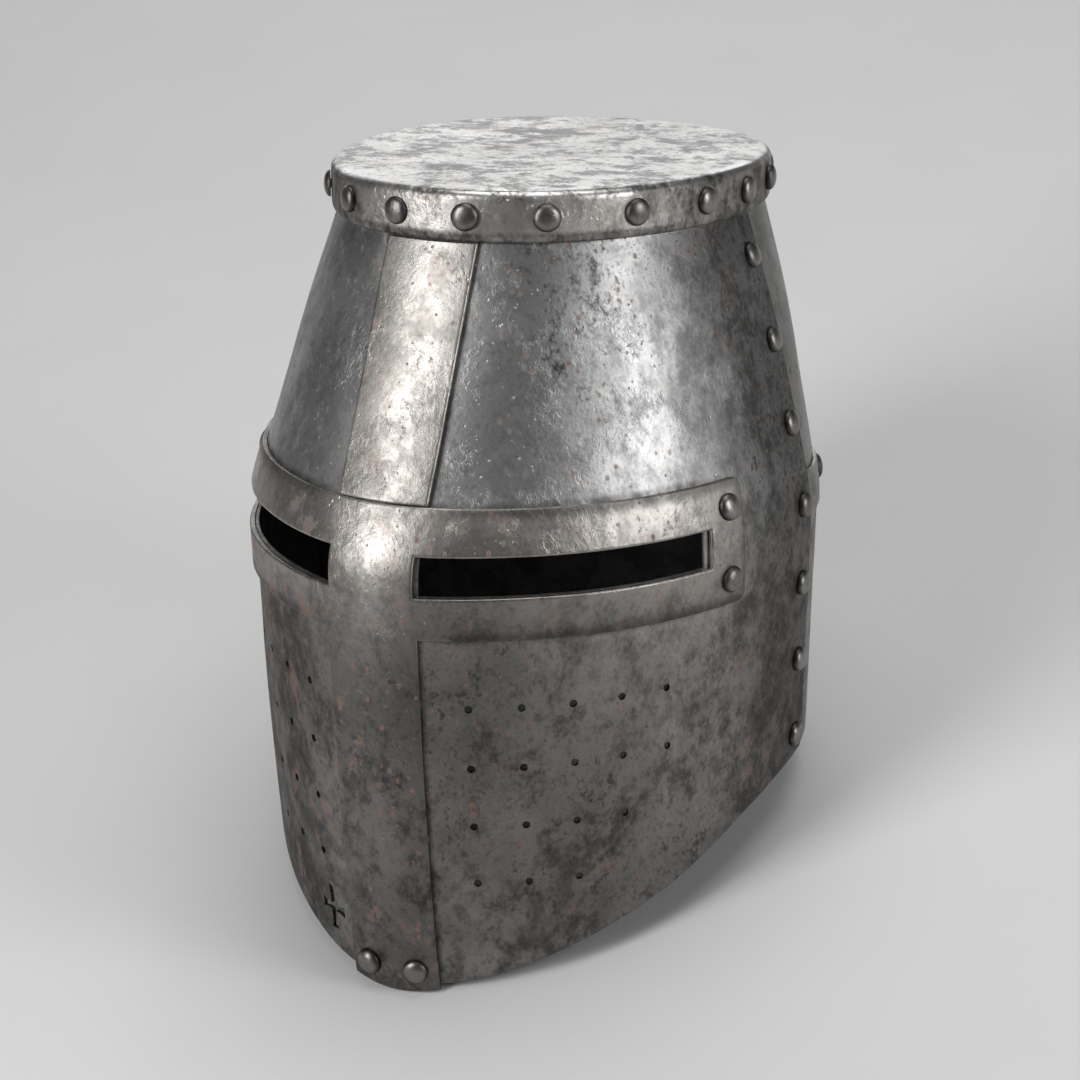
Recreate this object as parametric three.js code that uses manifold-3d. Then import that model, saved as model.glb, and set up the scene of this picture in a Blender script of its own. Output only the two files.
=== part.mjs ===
// Great helm of riveted steel plates, in millimetres.
//
// The helm is drawn upright, facing -Y, with its wearer's left at +X and the middle of the front plate's
// lower edge at height 0. It is then leant back onto its front point and its rear edge, as it rests by itself.
import * as THREE from "three";
import { mergeVertices } from "three/addons/utils/BufferGeometryUtils.js";
import Module from "manifold-3d";

const wasm = await Module();
wasm.setup();

// Driving dimensions of the shell
const WAIST_HALF_WIDTH = 125;
const WAIST_FRONT_REACH = 172.5;
const WAIST_BACK_REACH = 98;
const PROW = 9.6;
const PROW_HALF_WIDTH = 48;
const WAIST_HEIGHT = 197;
const RIM_HEIGHT = 322.5;
const SEAM_CORNER_HEIGHT = 77.5;
const SEAM_ANGLE = 89.5;

// Sheet thicknesses and fits
const PLATE = 1.6;
const STRAP = 2.2;
const CAP = 2.4;
const TONGUE = 0.9;
const GAP = 0.3;

// Crown cap
const FLANGE_HEIGHT = 21.5;
const CROWN_FILLET = 4;
const FLANGE_BEVEL_HEIGHT = 4;
const FLANGE_BEVEL_DEPTH = 1.4;

// Straps, sights and breaths
const STRAP_HALF_WIDTH = 20.5;
const STRAP_END_DROP = 2;
const STRAP_END_RISE = 2.6;
const TONGUE_PAST_RIVET = 4.25;
const SIGHT_DROP = 3;
const ARM_HEIGHT = 53.7;
const ARM_END_ANGLE = 69.8;
const ARM_CORNER = 5;
const SIGHT_HEIGHT = 16.3;
const SIGHT_START = 19.5;
const SIGHT_END_ANGLE = 62.5;
const SIGHT_LEDGE = 2.2;
const BREATH_RADIUS = 1.75;
const BREATH_START = 40.5;
const BREATH_PITCH = 22.2;
const BREATH_ROW_DROP = 61;
const BREATH_ROW_PITCH = 27.4;
const BREATHS_IN_ROWS = [5, 5, 4, 3];

// Small cross cut through the wearer's right cheek
const CUT_CROSS_OUT = 36.5;
const CUT_CROSS_HEIGHT_ABOVE_POINT = 26.5;
const CUT_CROSS_TALL = 22;
const CUT_CROSS_WIDE = 17.5;
const CUT_CROSS_BAR = 3;
const CUT_CROSS_FLARE = 4.6;
const CUT_DEPTH = 12;

// Laps of the rear plates
const SEAM_LAP = 17;
const REAR_LAP_ABOVE_WAIST = 11;
const REAR_LAP = 18;
const REAR_LAP_CLEARANCE = 1;
const REAR_LAP_PROUD = 1.3;
const REAR_LAP_RAMP = 4;
const REAR_LAP_EASE = 8;

// Rivets
const RIVET_HEAD_RADIUS = 6;
const RIVET_HEAD_HEIGHT = 3.3;
const RIVET_SHOULDER_RADIUS = 4.1;
const RIVET_SHOULDER_HEIGHT = 2.6;
const SHANK_RADIUS = 2;
const SHANK_CLEARANCE = 0.3;
const TAIL_RADIUS = 3.6;
const TAIL_HEIGHT = 1.3;
const TAIL_CLEARANCE = 0.8;
const SEAM_RIVET_INSET = 8.5;
const SEAM_RIVETS = 7;
const SEAM_RIVET_ABOVE_CORNER = 8.5;
const SEAM_RIVET_BELOW_RIM = 17.5;
const CROWN_RIVETS_REAR = 8;
const WAIST_RIVETS = 6;
const ARM_RIVET_INSET = 9.5;
const ARM_RIVET_EDGE = 11.5;
const END_RIVET_OUT = 10.9;
const END_RIVET_UP = 12;
// Places of the crown rivets in front, as shares of the way from the middle to the side seam's rivet
const CROWN_RIVET_SHARES = [0.097, 0.3, 0.543, 0.79, 1];

// Facets
const STRAP_COLUMNS = 2;
const SIDE_COLUMNS = 9;
const REAR_COLUMNS = 10;
const BREATH_SIDES = 6;
const SHANK_HOLE_SIDES = 4;
const RIVET_SIDES = 7;
const SIGHT_ROW_OUT = 9;
const NARROWEST_FACET = 0.6;
// Rows of facets, as shares of the way up the lower face, up a corner of the arm, and from the waist to the rim
const FACE_ROW_SHARES = [0, 0.33, 0.67];
const CORNER_ROW_SHARES = [0, 0.13, 0.5, 1];
const SKULL_ROW_SHARES = [0.35, 0.67, 1];

// Steps of the lengths and angles that are found by halving or repeating, in degrees where they are angles
const ARC_STEP = 0.5;
const NORMAL_STEP = 1.15;
const NORMAL_RISE = 1;
const HALVINGS = 24;
const LEAN_ROUNDS = 12;

// Materials
const skullSteel = new THREE.MeshStandardMaterial({ color: 0x8d9096, roughness: 0.36, metalness: 1 });
const faceSteel = new THREE.MeshStandardMaterial({ color: 0x6f6b66, roughness: 0.45, metalness: 1 });
const strapSteel = new THREE.MeshStandardMaterial({ color: 0x857e77, roughness: 0.4, metalness: 1 });
const rearSteel = new THREE.MeshStandardMaterial({ color: 0x7b7a79, roughness: 0.42, metalness: 1 });
const rivetSteel = new THREE.MeshStandardMaterial({ color: 0xa3a3a3, roughness: 0.28, metalness: 1 });

// Sections of the shell from the point up to the rim. level is the height as a share of the waist's height below
// the waist, and 1 plus the share of the way to the rim above it. width, front and back are shares of the waist's
// sizes, and prow is a share of the prow. full and fullBack are exponents: under 1 squarer, over 1 more pointed.
const SECTION_COLUMNS = ["level", "width", "front", "back", "prow", "full", "fullBack"];
const SECTIONS = [
  [0.0, 0.967, 0.88, 0.96, 1.0, 0.99, 1.1],
  [0.12, 0.977, 0.904, 0.965, 0.97, 0.98, 1.1],
  [0.42, 0.994, 0.948, 0.98, 0.91, 0.955, 1.12],
  [0.71, 1.001, 0.98, 0.99, 0.85, 0.93, 1.13],
  [0.87, 1.002, 0.993, 0.995, 0.81, 0.915, 1.13],
  [1.0, 0.999, 0.997, 1.0, 0.78, 0.9, 1.13],
  [1.16, 0.966, 0.953, 0.99, 0.67, 0.9, 1.09],
  [1.33, 0.924, 0.902, 0.985, 0.54, 0.9, 1.05],
  [1.67, 0.832, 0.808, 0.975, 0.3, 0.9, 0.97],
  [2.0, 0.724, 0.718, 0.958, 0.06, 0.9, 0.9],
];
// Height of the front plate's lower edge, as shares of the seam corner's height, by the share of the way round
const LOWER_EDGE = [[0, 0], [0.2, 0.075], [0.4, 0.26], [0.6, 0.505], [0.8, 0.795], [1, 1]];

const sightLevel = WAIST_HEIGHT - SIGHT_DROP;
const armTop = sightLevel + ARM_HEIGHT / 2;
const armBottom = sightLevel - ARM_HEIGHT / 2;
const crownHeight = RIM_HEIGHT + FLANGE_HEIGHT;
const flangeMiddle = RIM_HEIGHT + FLANGE_HEIGHT / 2;
const tongueTop = flangeMiddle + TONGUE_PAST_RIVET;
const plateTop = crownHeight - CAP - GAP;
const rearLapTop = WAIST_HEIGHT + REAR_LAP_ABOVE_WAIST;
const rearLapFoot = rearLapTop + REAR_LAP_CLEARANCE;
const seamAngle = THREE.MathUtils.degToRad(SEAM_ANGLE);
const armEnd = THREE.MathUtils.degToRad(ARM_END_ANGLE);
const sightEnd = THREE.MathUtils.degToRad(SIGHT_END_ANGLE);
const narrowest = THREE.MathUtils.degToRad(NARROWEST_FACET);
const rearOffset = -PLATE - GAP;
const lapBottom = rearLapTop - REAR_LAP;

// Smooth curve through rows of numbers, with column 0 as the place along it
function interpolate(rows, at, column) {
  const last = rows.length - 2;
  let i = 0;
  while (i < last && at > rows[i + 1][0]) {
    i += 1;
  }
  const slope = (j) => {
    const low = rows[Math.max(j - 1, 0)];
    const high = rows[Math.min(j + 1, rows.length - 1)];
    return (high[column] - low[column]) / (high[0] - low[0]);
  };
  const span = rows[i + 1][0] - rows[i][0];
  const t = THREE.MathUtils.clamp((at - rows[i][0]) / span, 0, 1);
  const fromLow = (1 + 2 * t) * (1 - t) ** 2 * rows[i][column] + t * (1 - t) ** 2 * span * slope(i);
  return fromLow + t * t * (3 - 2 * t) * rows[i + 1][column] - t * t * (1 - t) * span * slope(i + 1);
}

// Sizes of the shell's section at a height
function section(height) {
  const above = (height - WAIST_HEIGHT) / (RIM_HEIGHT - WAIST_HEIGHT);
  const level = height < WAIST_HEIGHT ? height / WAIST_HEIGHT : 1 + above;
  const share = Object.fromEntries(SECTION_COLUMNS.map((name, i) => [name, interpolate(SECTIONS, level, i)]));
  return {
    width: share.width * WAIST_HALF_WIDTH,
    front: share.front * WAIST_FRONT_REACH,
    back: share.back * WAIST_BACK_REACH,
    prow: share.prow * PROW,
    full: share.full,
    fullBack: share.fullBack,
  };
}

// Point on the front plate's outer surface, and on its continuation round the back
function onShell(angle, height) {
  const size = section(height);
  const x = size.width * Math.sin(angle);
  const forward = Math.cos(angle);
  const prow = size.prow * Math.exp(-((x / PROW_HALF_WIDTH) ** 2));
  const y = forward > 0 ? -size.front * forward ** size.full - prow : size.back * (-forward) ** size.fullBack;
  return new THREE.Vector3(x, y, height);
}

// Outward normal of that surface
function outward(angle, height) {
  const step = THREE.MathUtils.degToRad(NORMAL_STEP);
  const round = onShell(angle + step, height).sub(onShell(angle - step, height));
  const up = onShell(angle, height + NORMAL_RISE).sub(onShell(angle, height - NORMAL_RISE));
  return round.cross(up).normalize();
}

function offsetPoint(angle, height, offset) {
  return onShell(angle, height).addScaledVector(outward(angle, height), offset);
}

// Length along the section's outline from the middle of the front to an angle
function arcTo(angle, height) {
  const steps = Math.max(2, Math.ceil(THREE.MathUtils.radToDeg(Math.abs(angle)) / ARC_STEP));
  let length = 0;
  for (let i = 0; i < steps; i += 1) {
    const from = onShell((angle * i) / steps, height);
    length += from.distanceTo(onShell((angle * (i + 1)) / steps, height));
  }
  return length;
}

// Angle at a length along the section's outline
function angleAtArc(length, height) {
  let low = 0;
  let high = Math.PI;
  for (let i = 0; i < HALVINGS; i += 1) {
    const middle = (low + high) / 2;
    if (arcTo(middle, height) < length) {
      low = middle;
    } else {
      high = middle;
    }
  }
  return (low + high) / 2;
}

const strapAngle = (height) => Math.asin(STRAP_HALF_WIDTH / section(height).width);
const lapAngle = (height) => angleAtArc(arcTo(seamAngle, height) - SEAM_LAP, height);

// Facet columns from the middle of the front to the middle of the back, as angles at a height. Every plate takes
// its facets from these, so that plates that lie on each other stay clear of each other.
const FRONT_LAST = STRAP_COLUMNS + SIDE_COLUMNS + 1;
const REAR_LAST = FRONT_LAST + REAR_COLUMNS;
const lapAngles = new Map();

function columnAngle(column, height) {
  const index = Math.abs(column);
  const side = Math.sign(column);
  if (index <= STRAP_COLUMNS) {
    const x = (STRAP_HALF_WIDTH * index) / STRAP_COLUMNS;
    return side * Math.asin(x / section(height).width);
  }
  if (index >= FRONT_LAST) {
    return side * THREE.MathUtils.lerp(seamAngle, Math.PI, (index - FRONT_LAST) / REAR_COLUMNS);
  }
  if (!lapAngles.has(height)) {
    lapAngles.set(height, lapAngle(height));
  }
  const t = (index - STRAP_COLUMNS) / SIDE_COLUMNS;
  return side * THREE.MathUtils.lerp(strapAngle(height), lapAngles.get(height), t);
}

// Height of the front plate's lower edge at a column
function lowerEdge(column) {
  const share = Math.abs(columnAngle(column, SEAM_CORNER_HEIGHT / 2)) / seamAngle;
  return SEAM_CORNER_HEIGHT * interpolate(LOWER_EDGE, Math.min(share, 1), 1);
}

// Closed solid from a grid of points on its outer and inner faces
function gridSolid(outer, inner) {
  const rows = outer.length;
  const columns = outer[0].length;
  const positions = [];
  const triangles = [];
  for (const face of [outer, inner]) {
    for (const row of face) {
      for (const point of row) {
        positions.push(point.x, point.y, point.z);
      }
    }
  }
  const at = (face, row, column) => (face * rows + row) * columns + column;
  const quad = (a, b, c, d) => triangles.push(a, b, c, a, c, d);
  for (let r = 0; r + 1 < rows; r += 1) {
    for (let c = 0; c + 1 < columns; c += 1) {
      quad(at(0, r, c), at(0, r, c + 1), at(0, r + 1, c + 1), at(0, r + 1, c));
      quad(at(1, r, c), at(1, r + 1, c), at(1, r + 1, c + 1), at(1, r, c + 1));
    }
    quad(at(0, r, 0), at(0, r + 1, 0), at(1, r + 1, 0), at(1, r, 0));
    quad(at(0, r, columns - 1), at(1, r, columns - 1), at(1, r + 1, columns - 1), at(0, r + 1, columns - 1));
  }
  for (let c = 0; c + 1 < columns; c += 1) {
    quad(at(0, 0, c), at(1, 0, c), at(1, 0, c + 1), at(0, 0, c + 1));
    quad(at(0, rows - 1, c), at(0, rows - 1, c + 1), at(1, rows - 1, c + 1), at(1, rows - 1, c));
  }
  return new wasm.Manifold(
    new wasm.Mesh({
      numProp: 3,
      vertProperties: new Float32Array(positions),
      triVerts: new Uint32Array(triangles),
    }),
  );
}

// Sheet on the shell. columns runs from one side to the other, rows gives each row's height at a column from the
// bottom up, and outerOffset and innerOffset give how far each face lies outside the shell.
function sheet({ columns, rows, angle = columnAngle, outerOffset, innerOffset }) {
  const face = (offset) =>
    rows.map((heightAt) =>
      columns.map((column) => {
        const height = heightAt(column);
        const around = angle(column, height);
        return offsetPoint(around, height, offset(around, height));
      }),
    );
  return gridSolid(face(outerOffset), face(innerOffset));
}

const range = (from, to) => Array.from({ length: to - from + 1 }, (_, i) => from + i);
const level = (height) => () => height;

// Matrix that puts a piece drawn round its own +Z onto the shell, pointing out
function outwardAt(angle, height, offset) {
  const normal = outward(angle, height);
  const up = new THREE.Vector3(0, 0, 1);
  const side = up.cross(normal).normalize();
  const top = normal.clone().cross(side);
  return new THREE.Matrix4().makeBasis(side, top, normal).setPosition(offsetPoint(angle, height, offset));
}

// Solid from any closed three.js geometry
function toSolid(geometry) {
  const bare = geometry.clone();
  bare.deleteAttribute("normal");
  bare.deleteAttribute("uv");
  const merged = mergeVertices(bare, 1e-4);
  return new wasm.Manifold(
    new wasm.Mesh({
      numProp: 3,
      vertProperties: new Float32Array(merged.attributes.position.array),
      triVerts: new Uint32Array(merged.index.array),
    }),
  );
}

// Round cutter along the outward direction
function roundCutter(angle, height, radius, sides) {
  const geometry = new THREE.CylinderGeometry(radius, radius, 2 * CUT_DEPTH, sides);
  geometry.rotateX(Math.PI / 2);
  geometry.applyMatrix4(outwardAt(angle, height, 0));
  return toSolid(geometry);
}

// Opening for a sight through a sheet, on one side, with its ends moved in by an inset. Between its ends it turns
// at the sheet's own facet columns.
function sightCutter(side, inset) {
  const ends = {
    start: (height) => angleAtArc(SIGHT_START + inset, height),
    end: (height) => angleAtArc(arcTo(sightEnd, height) - inset, height),
  };
  const between = range(STRAP_COLUMNS + 1, FRONT_LAST).filter((column) => {
    const angle = columnAngle(column, sightLevel);
    return angle > ends.start(sightLevel) + narrowest && angle < ends.end(sightLevel) - narrowest;
  });
  const columns = ["start", ...between, "end"];
  const angleOf = (column, height) => (column in ends ? ends[column](height) : columnAngle(column, height));
  return sheet({
    columns: side > 0 ? columns : columns.reverse(),
    rows: [level(sightLevel - SIGHT_HEIGHT / 2), level(sightLevel + SIGHT_HEIGHT / 2)],
    angle: (column, height) => side * angleOf(column, height),
    outerOffset: () => 2 * STRAP + GAP,
    innerOffset: () => -2 * PLATE - GAP,
  });
}

// Outline of the small cross, with bars that widen towards their ends
function crossCutter() {
  const tall = CUT_CROSS_TALL / 2;
  const wide = CUT_CROSS_WIDE / 2;
  const bar = CUT_CROSS_BAR / 2;
  const flare = CUT_CROSS_FLARE / 2;
  const quarter = [[flare, tall], [bar, bar], [wide, flare]];
  const turned = quarter.map(([x, y]) => [x, -y]).reverse();
  const right = [...quarter, ...turned];
  const outline = [...right, ...right.map(([x, y]) => [-x, -y])];
  const shape = new THREE.Shape(outline.map(([x, y]) => new THREE.Vector2(x, y)));
  const geometry = new THREE.ExtrudeGeometry(shape, { depth: CUT_DEPTH, bevelEnabled: false });
  geometry.translate(0, 0, -CUT_DEPTH / 2);
  const height = CUT_CROSS_HEIGHT_ABOVE_POINT;
  geometry.applyMatrix4(outwardAt(-angleAtArc(CUT_CROSS_OUT, height), height, 0));
  return toSolid(geometry);
}

// Rivet places. under is how far the rivet's tail has to reach below the shell, over is where its head sits.
const SIDES = [["left", 1], ["right", -1]];
const strapFace = GAP + STRAP;
const capFace = GAP + CAP;

function crownRivets() {
  const height = flangeMiddle;
  const seamArc = arcTo(seamAngle, height) - SEAM_RIVET_INSET;
  const rearArc = 2 * (arcTo(Math.PI, height) - seamArc);
  const arcs = CROWN_RIVET_SHARES.map((share) => ({ arc: share * seamArc, seam: share === 1, rear: false }));
  for (let i = 1; i <= CROWN_RIVETS_REAR / 2; i += 1) {
    arcs.push({ arc: seamArc + (rearArc * i) / (CROWN_RIVETS_REAR + 1), seam: false, rear: true });
  }
  const places = [];
  for (const [name, side] of SIDES) {
    arcs.forEach(({ arc, seam, rear }, i) => {
      places.push({
        name: `crown_rivet_${name}_${i + 1}`,
        angle: side * angleAtArc(arc, height),
        height,
        over: rear ? capFace + rearOffset : capFace,
        under: rear || seam ? rearOffset - PLATE : -PLATE,
        through: ["cap", rear ? "rearUpper" : "front", seam ? "rearUpper" : "", i === 0 ? "brow" : ""],
      });
    });
  }
  return places;
}

function seamRivets() {
  const lowest = SEAM_CORNER_HEIGHT + SEAM_RIVET_ABOVE_CORNER;
  const highest = RIM_HEIGHT - SEAM_RIVET_BELOW_RIM;
  const places = [];
  for (const [name, side] of SIDES) {
    for (let i = 0; i < SEAM_RIVETS; i += 1) {
      const height = THREE.MathUtils.lerp(lowest, highest, i / (SEAM_RIVETS - 1));
      const upperReaches = height > lapBottom - TAIL_RADIUS;
      const lowerReaches = height < rearLapTop + TAIL_RADIUS;
      const inLap = upperReaches && height < rearLapFoot + REAR_LAP_RAMP + TAIL_RADIUS;
      places.push({
        name: `seam_rivet_${name}_${i + 1}`,
        angle: side * angleAtArc(arcTo(seamAngle, height) - SEAM_RIVET_INSET, height),
        height,
        over: 0,
        under: inLap ? 2 * rearOffset - PLATE : rearOffset - PLATE,
        through: ["front", lowerReaches ? "rearLower" : "", upperReaches ? "rearUpper" : ""],
      });
    }
  }
  return places;
}

function waistRivets() {
  const height = (rearLapTop + lapBottom) / 2;
  const seamArc = arcTo(seamAngle, height) - SEAM_RIVET_INSET;
  const rearArc = 2 * (arcTo(Math.PI, height) - seamArc);
  const lapFace = rearOffset + REAR_LAP_PROUD;
  return range(1, WAIST_RIVETS).map((i) => {
    const arc = seamArc + (rearArc * i) / (WAIST_RIVETS + 1);
    const half = arcTo(Math.PI, height);
    return {
      name: `waist_rivet_${i}`,
      angle: arc < half ? angleAtArc(arc, height) : -angleAtArc(2 * half - arc, height),
      height,
      over: lapFace,
      under: lapFace - 2 * PLATE - GAP,
      through: ["rearLower", "rearUpper"],
    };
  });
}

function frontRivets() {
  const places = [];
  for (const [name, side] of SIDES) {
    const heights = [["upper", armTop - ARM_RIVET_EDGE], ["lower", armBottom + ARM_RIVET_EDGE]];
    for (const [where, height] of heights) {
      places.push({
        name: `arm_rivet_${name}_${where}`,
        angle: side * angleAtArc(arcTo(armEnd, height) - ARM_RIVET_INSET, height),
        height,
        over: strapFace,
        under: -PLATE,
        through: ["front", "cross"],
      });
    }
    const height = END_RIVET_UP - STRAP_END_DROP;
    places.push({
      name: `end_rivet_${name}`,
      angle: side * Math.asin(END_RIVET_OUT / section(height).width),
      height,
      over: strapFace,
      under: -PLATE,
      through: ["front", "cross"],
    });
  }
  return places;
}

const rivets = [...crownRivets(), ...seamRivets(), ...waistRivets(), ...frontRivets()];

// Cuts each rivet's square-punched hole through a plate
function drilled(solid, plate) {
  const radius = (SHANK_RADIUS + SHANK_CLEARANCE) / Math.cos(Math.PI / SHANK_HOLE_SIDES);
  const holes = rivets.filter((rivet) => rivet.through.includes(plate));
  const cutters = holes.map(({ angle, height }) => roundCutter(angle, height, radius, SHANK_HOLE_SIDES));
  return cutters.reduce((rest, cutter) => rest.subtract(cutter), solid);
}

function rivetGeometry({ over, under }) {
  const seat = over + GAP;
  const tail = under - TAIL_CLEARANCE;
  const profile = [
    [0, tail - TAIL_HEIGHT],
    [TAIL_RADIUS, tail],
    [SHANK_RADIUS, tail],
    [SHANK_RADIUS, seat],
    [RIVET_HEAD_RADIUS, seat],
    [RIVET_SHOULDER_RADIUS, seat + RIVET_SHOULDER_HEIGHT],
    [0, seat + RIVET_HEAD_HEIGHT],
  ];
  const geometry = new THREE.LatheGeometry(profile.map(([r, z]) => new THREE.Vector2(r, z)), RIVET_SIDES);
  geometry.rotateX(Math.PI / 2);
  return geometry;
}

// Crown cap: a flat oval top with a flange that follows the plates under it
function crownCap() {
  const inward = (column) => (Math.abs(column) > FRONT_LAST ? rearOffset : 0);
  const columns = range(-REAR_LAST + 1, REAR_LAST);
  const face = GAP + CAP;
  const cut = CROWN_FILLET * (1 - Math.SQRT1_2);
  const rings = [
    [face - CROWN_FILLET, crownHeight],
    [face - cut, crownHeight - cut],
    [face, crownHeight - CROWN_FILLET],
    [face, RIM_HEIGHT + FLANGE_BEVEL_HEIGHT],
    [face - FLANGE_BEVEL_DEPTH, RIM_HEIGHT],
    [GAP, RIM_HEIGHT],
    [GAP, crownHeight - CAP],
  ];
  const positions = [0, 0, crownHeight, 0, 0, crownHeight - CAP];
  for (const [offset, height] of rings) {
    for (const column of columns) {
      const angle = columnAngle(column, RIM_HEIGHT);
      const normal = outward(angle, RIM_HEIGHT).setZ(0).normalize();
      const point = onShell(angle, RIM_HEIGHT).addScaledVector(normal, offset + inward(column));
      positions.push(point.x, point.y, height);
    }
  }
  const count = columns.length;
  const at = (ring, i) => 2 + ring * count + (i % count);
  const triangles = [];
  for (let i = 0; i < count; i += 1) {
    triangles.push(0, at(0, i), at(0, i + 1));
    triangles.push(1, at(rings.length - 1, i + 1), at(rings.length - 1, i));
    for (let ring = 0; ring + 1 < rings.length; ring += 1) {
      triangles.push(at(ring, i), at(ring + 1, i), at(ring + 1, i + 1));
      triangles.push(at(ring, i), at(ring + 1, i + 1), at(ring, i + 1));
    }
  }
  const body = new wasm.Manifold(
    new wasm.Mesh({
      numProp: 3,
      vertProperties: new Float32Array(positions),
      triVerts: new Uint32Array(triangles),
    }),
  );
  const pocket = sheet({
    columns: range(-STRAP_COLUMNS, STRAP_COLUMNS),
    rows: [RIM_HEIGHT - CAP, RIM_HEIGHT, tongueTop + GAP].map(level),
    angle: (column, height) => {
      const x = ((STRAP_HALF_WIDTH + GAP) * column) / STRAP_COLUMNS;
      return Math.asin(x / section(height).width);
    },
    outerOffset: () => GAP + TONGUE + GAP,
    innerOffset: () => -CAP,
  });
  return drilled(body.subtract(pocket), "cap");
}

const sightRows = [sightLevel - SIGHT_ROW_OUT, sightLevel, sightLevel + SIGHT_ROW_OUT];
const armRows = [armBottom, ...sightRows, armTop];
const skullRows = SKULL_ROW_SHARES.map((share) => THREE.MathUtils.lerp(WAIST_HEIGHT, RIM_HEIGHT, share));

function frontPlate() {
  const below = FACE_ROW_SHARES.map((t) => (column) => {
    return THREE.MathUtils.lerp(lowerEdge(column), armBottom, t);
  });
  let plate = sheet({
    columns: range(-FRONT_LAST, FRONT_LAST),
    rows: [...below, ...armRows.map(level), ...skullRows.map(level), level(plateTop)],
    outerOffset: () => 0,
    innerOffset: () => -PLATE,
  });
  for (const [, side] of SIDES) {
    plate = plate.subtract(sightCutter(side, SIGHT_LEDGE));
    BREATHS_IN_ROWS.forEach((count, row) => {
      const height = WAIST_HEIGHT - BREATH_ROW_DROP - row * BREATH_ROW_PITCH;
      for (let i = 0; i < count; i += 1) {
        const angle = side * angleAtArc(BREATH_START + i * BREATH_PITCH, height);
        plate = plate.subtract(roundCutter(angle, height, BREATH_RADIUS, BREATH_SIDES));
      }
    });
  }
  return drilled(plate.subtract(crossCutter()), "front");
}

// Share of the way from the seam's edge to the open back, where the lap can stand proud
function awayFromSeam(angle) {
  const proud = seamAngle + THREE.MathUtils.degToRad(REAR_LAP_EASE);
  return THREE.MathUtils.smoothstep(Math.abs(angle), seamAngle, proud);
}

const rearColumns = [...range(FRONT_LAST - 1, REAR_LAST), ...range(-REAR_LAST + 1, -FRONT_LAST + 1)];

function rearUpperPlate() {
  const rows = [
    lapBottom,
    (lapBottom + rearLapTop) / 2,
    rearLapFoot,
    rearLapFoot + REAR_LAP_RAMP,
    ...skullRows,
    plateTop,
  ];
  const outer = (angle, height) => {
    const inset = rearOffset + REAR_LAP_PROUD * awayFromSeam(angle);
    const lap = 1 - THREE.MathUtils.smoothstep(height, rearLapFoot, rearLapFoot + REAR_LAP_RAMP);
    return rearOffset + inset * lap;
  };
  const plate = sheet({
    columns: rearColumns,
    rows: rows.map(level),
    outerOffset: outer,
    innerOffset: (angle, height) => outer(angle, height) - PLATE,
  });
  return drilled(plate, "rearUpper");
}

function rearLowerPlate() {
  const rows = [
    SEAM_CORNER_HEIGHT,
    (SEAM_CORNER_HEIGHT + armBottom) / 2,
    armBottom,
    lapBottom - REAR_LAP_RAMP,
    lapBottom,
    (lapBottom + rearLapTop) / 2,
    rearLapTop,
  ];
  const outer = (angle, height) => {
    const lap = THREE.MathUtils.smoothstep(height, lapBottom - REAR_LAP_RAMP, lapBottom);
    return rearOffset + REAR_LAP_PROUD * lap * awayFromSeam(angle);
  };
  const plate = sheet({
    columns: rearColumns,
    rows: rows.map(level),
    outerOffset: outer,
    innerOffset: (angle, height) => outer(angle, height) - PLATE,
  });
  return drilled(plate, "rearLower");
}

function browStrap() {
  const shoulder = RIM_HEIGHT - GAP - TONGUE;
  const rows = [armTop + GAP, ...skullRows.slice(0, 2), shoulder, RIM_HEIGHT - GAP, tongueTop];
  const strap = sheet({
    columns: range(-STRAP_COLUMNS, STRAP_COLUMNS),
    rows: rows.map(level),
    outerOffset: (angle, height) => GAP + (height > shoulder ? TONGUE : STRAP),
    innerOffset: () => GAP,
  });
  return drilled(strap, "brow");
}

// Height of the long strap's lower end at a column
function strapEnd(column) {
  const share = column / STRAP_COLUMNS;
  return -STRAP_END_DROP + STRAP_END_RISE * share * share;
}

// The cross that frames the sights: a long strap down to the point and an arm round each side
function faceCross() {
  const low = FACE_ROW_SHARES.map((t) => (column) => {
    return THREE.MathUtils.lerp(strapEnd(column), armBottom, t);
  });
  const strap = sheet({
    columns: range(-STRAP_COLUMNS, STRAP_COLUMNS),
    rows: [...low, ...armRows.map(level)],
    outerOffset: () => GAP + STRAP,
    innerOffset: () => GAP,
  });
  const endAngle = (height) => {
    const fromEdge = Math.min(height - armBottom, armTop - height);
    const corner = Math.max(ARM_CORNER - fromEdge, 0);
    const cut = ARM_CORNER - Math.sqrt(Math.max(ARM_CORNER ** 2 - corner ** 2, 0));
    return angleAtArc(arcTo(armEnd, height) - cut, height);
  };
  const corners = CORNER_ROW_SHARES.map((share) => share * ARM_CORNER);
  const heights = [
    ...corners.map((up) => armBottom + up),
    ...sightRows,
    ...corners.map((down) => armTop - down).reverse(),
  ];
  const inner = range(0, FRONT_LAST).filter((column) => columnAngle(column, sightLevel) < armEnd - narrowest);
  const lastColumn = inner.length;
  const ends = new Map(heights.map((height) => [height, endAngle(height)]));
  const arms = sheet({
    columns: range(-lastColumn, lastColumn),
    rows: heights.map(level),
    angle: (column, height) => {
      const end = ends.get(height);
      const beforeEnd = Math.min(Math.abs(columnAngle(column, height)), end - narrowest);
      return Math.sign(column) * (Math.abs(column) === lastColumn ? end : beforeEnd);
    },
    outerOffset: () => GAP + STRAP,
    innerOffset: () => GAP,
  });
  const sights = SIDES.map(([, side]) => sightCutter(side, 0));
  const cut = sights.reduce((rest, sight) => rest.subtract(sight), arms);
  return drilled(strap.add(cut), "cross");
}

// Mesh of a solid
function toMesh(name, solid, material) {
  const mesh = solid.getMesh();
  const geometry = new THREE.BufferGeometry();
  geometry.setAttribute("position", new THREE.BufferAttribute(new Float32Array(mesh.vertProperties), 3));
  geometry.setIndex(new THREE.BufferAttribute(new Uint32Array(mesh.triVerts), 1));
  return namedMesh(name, geometry, material);
}

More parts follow.
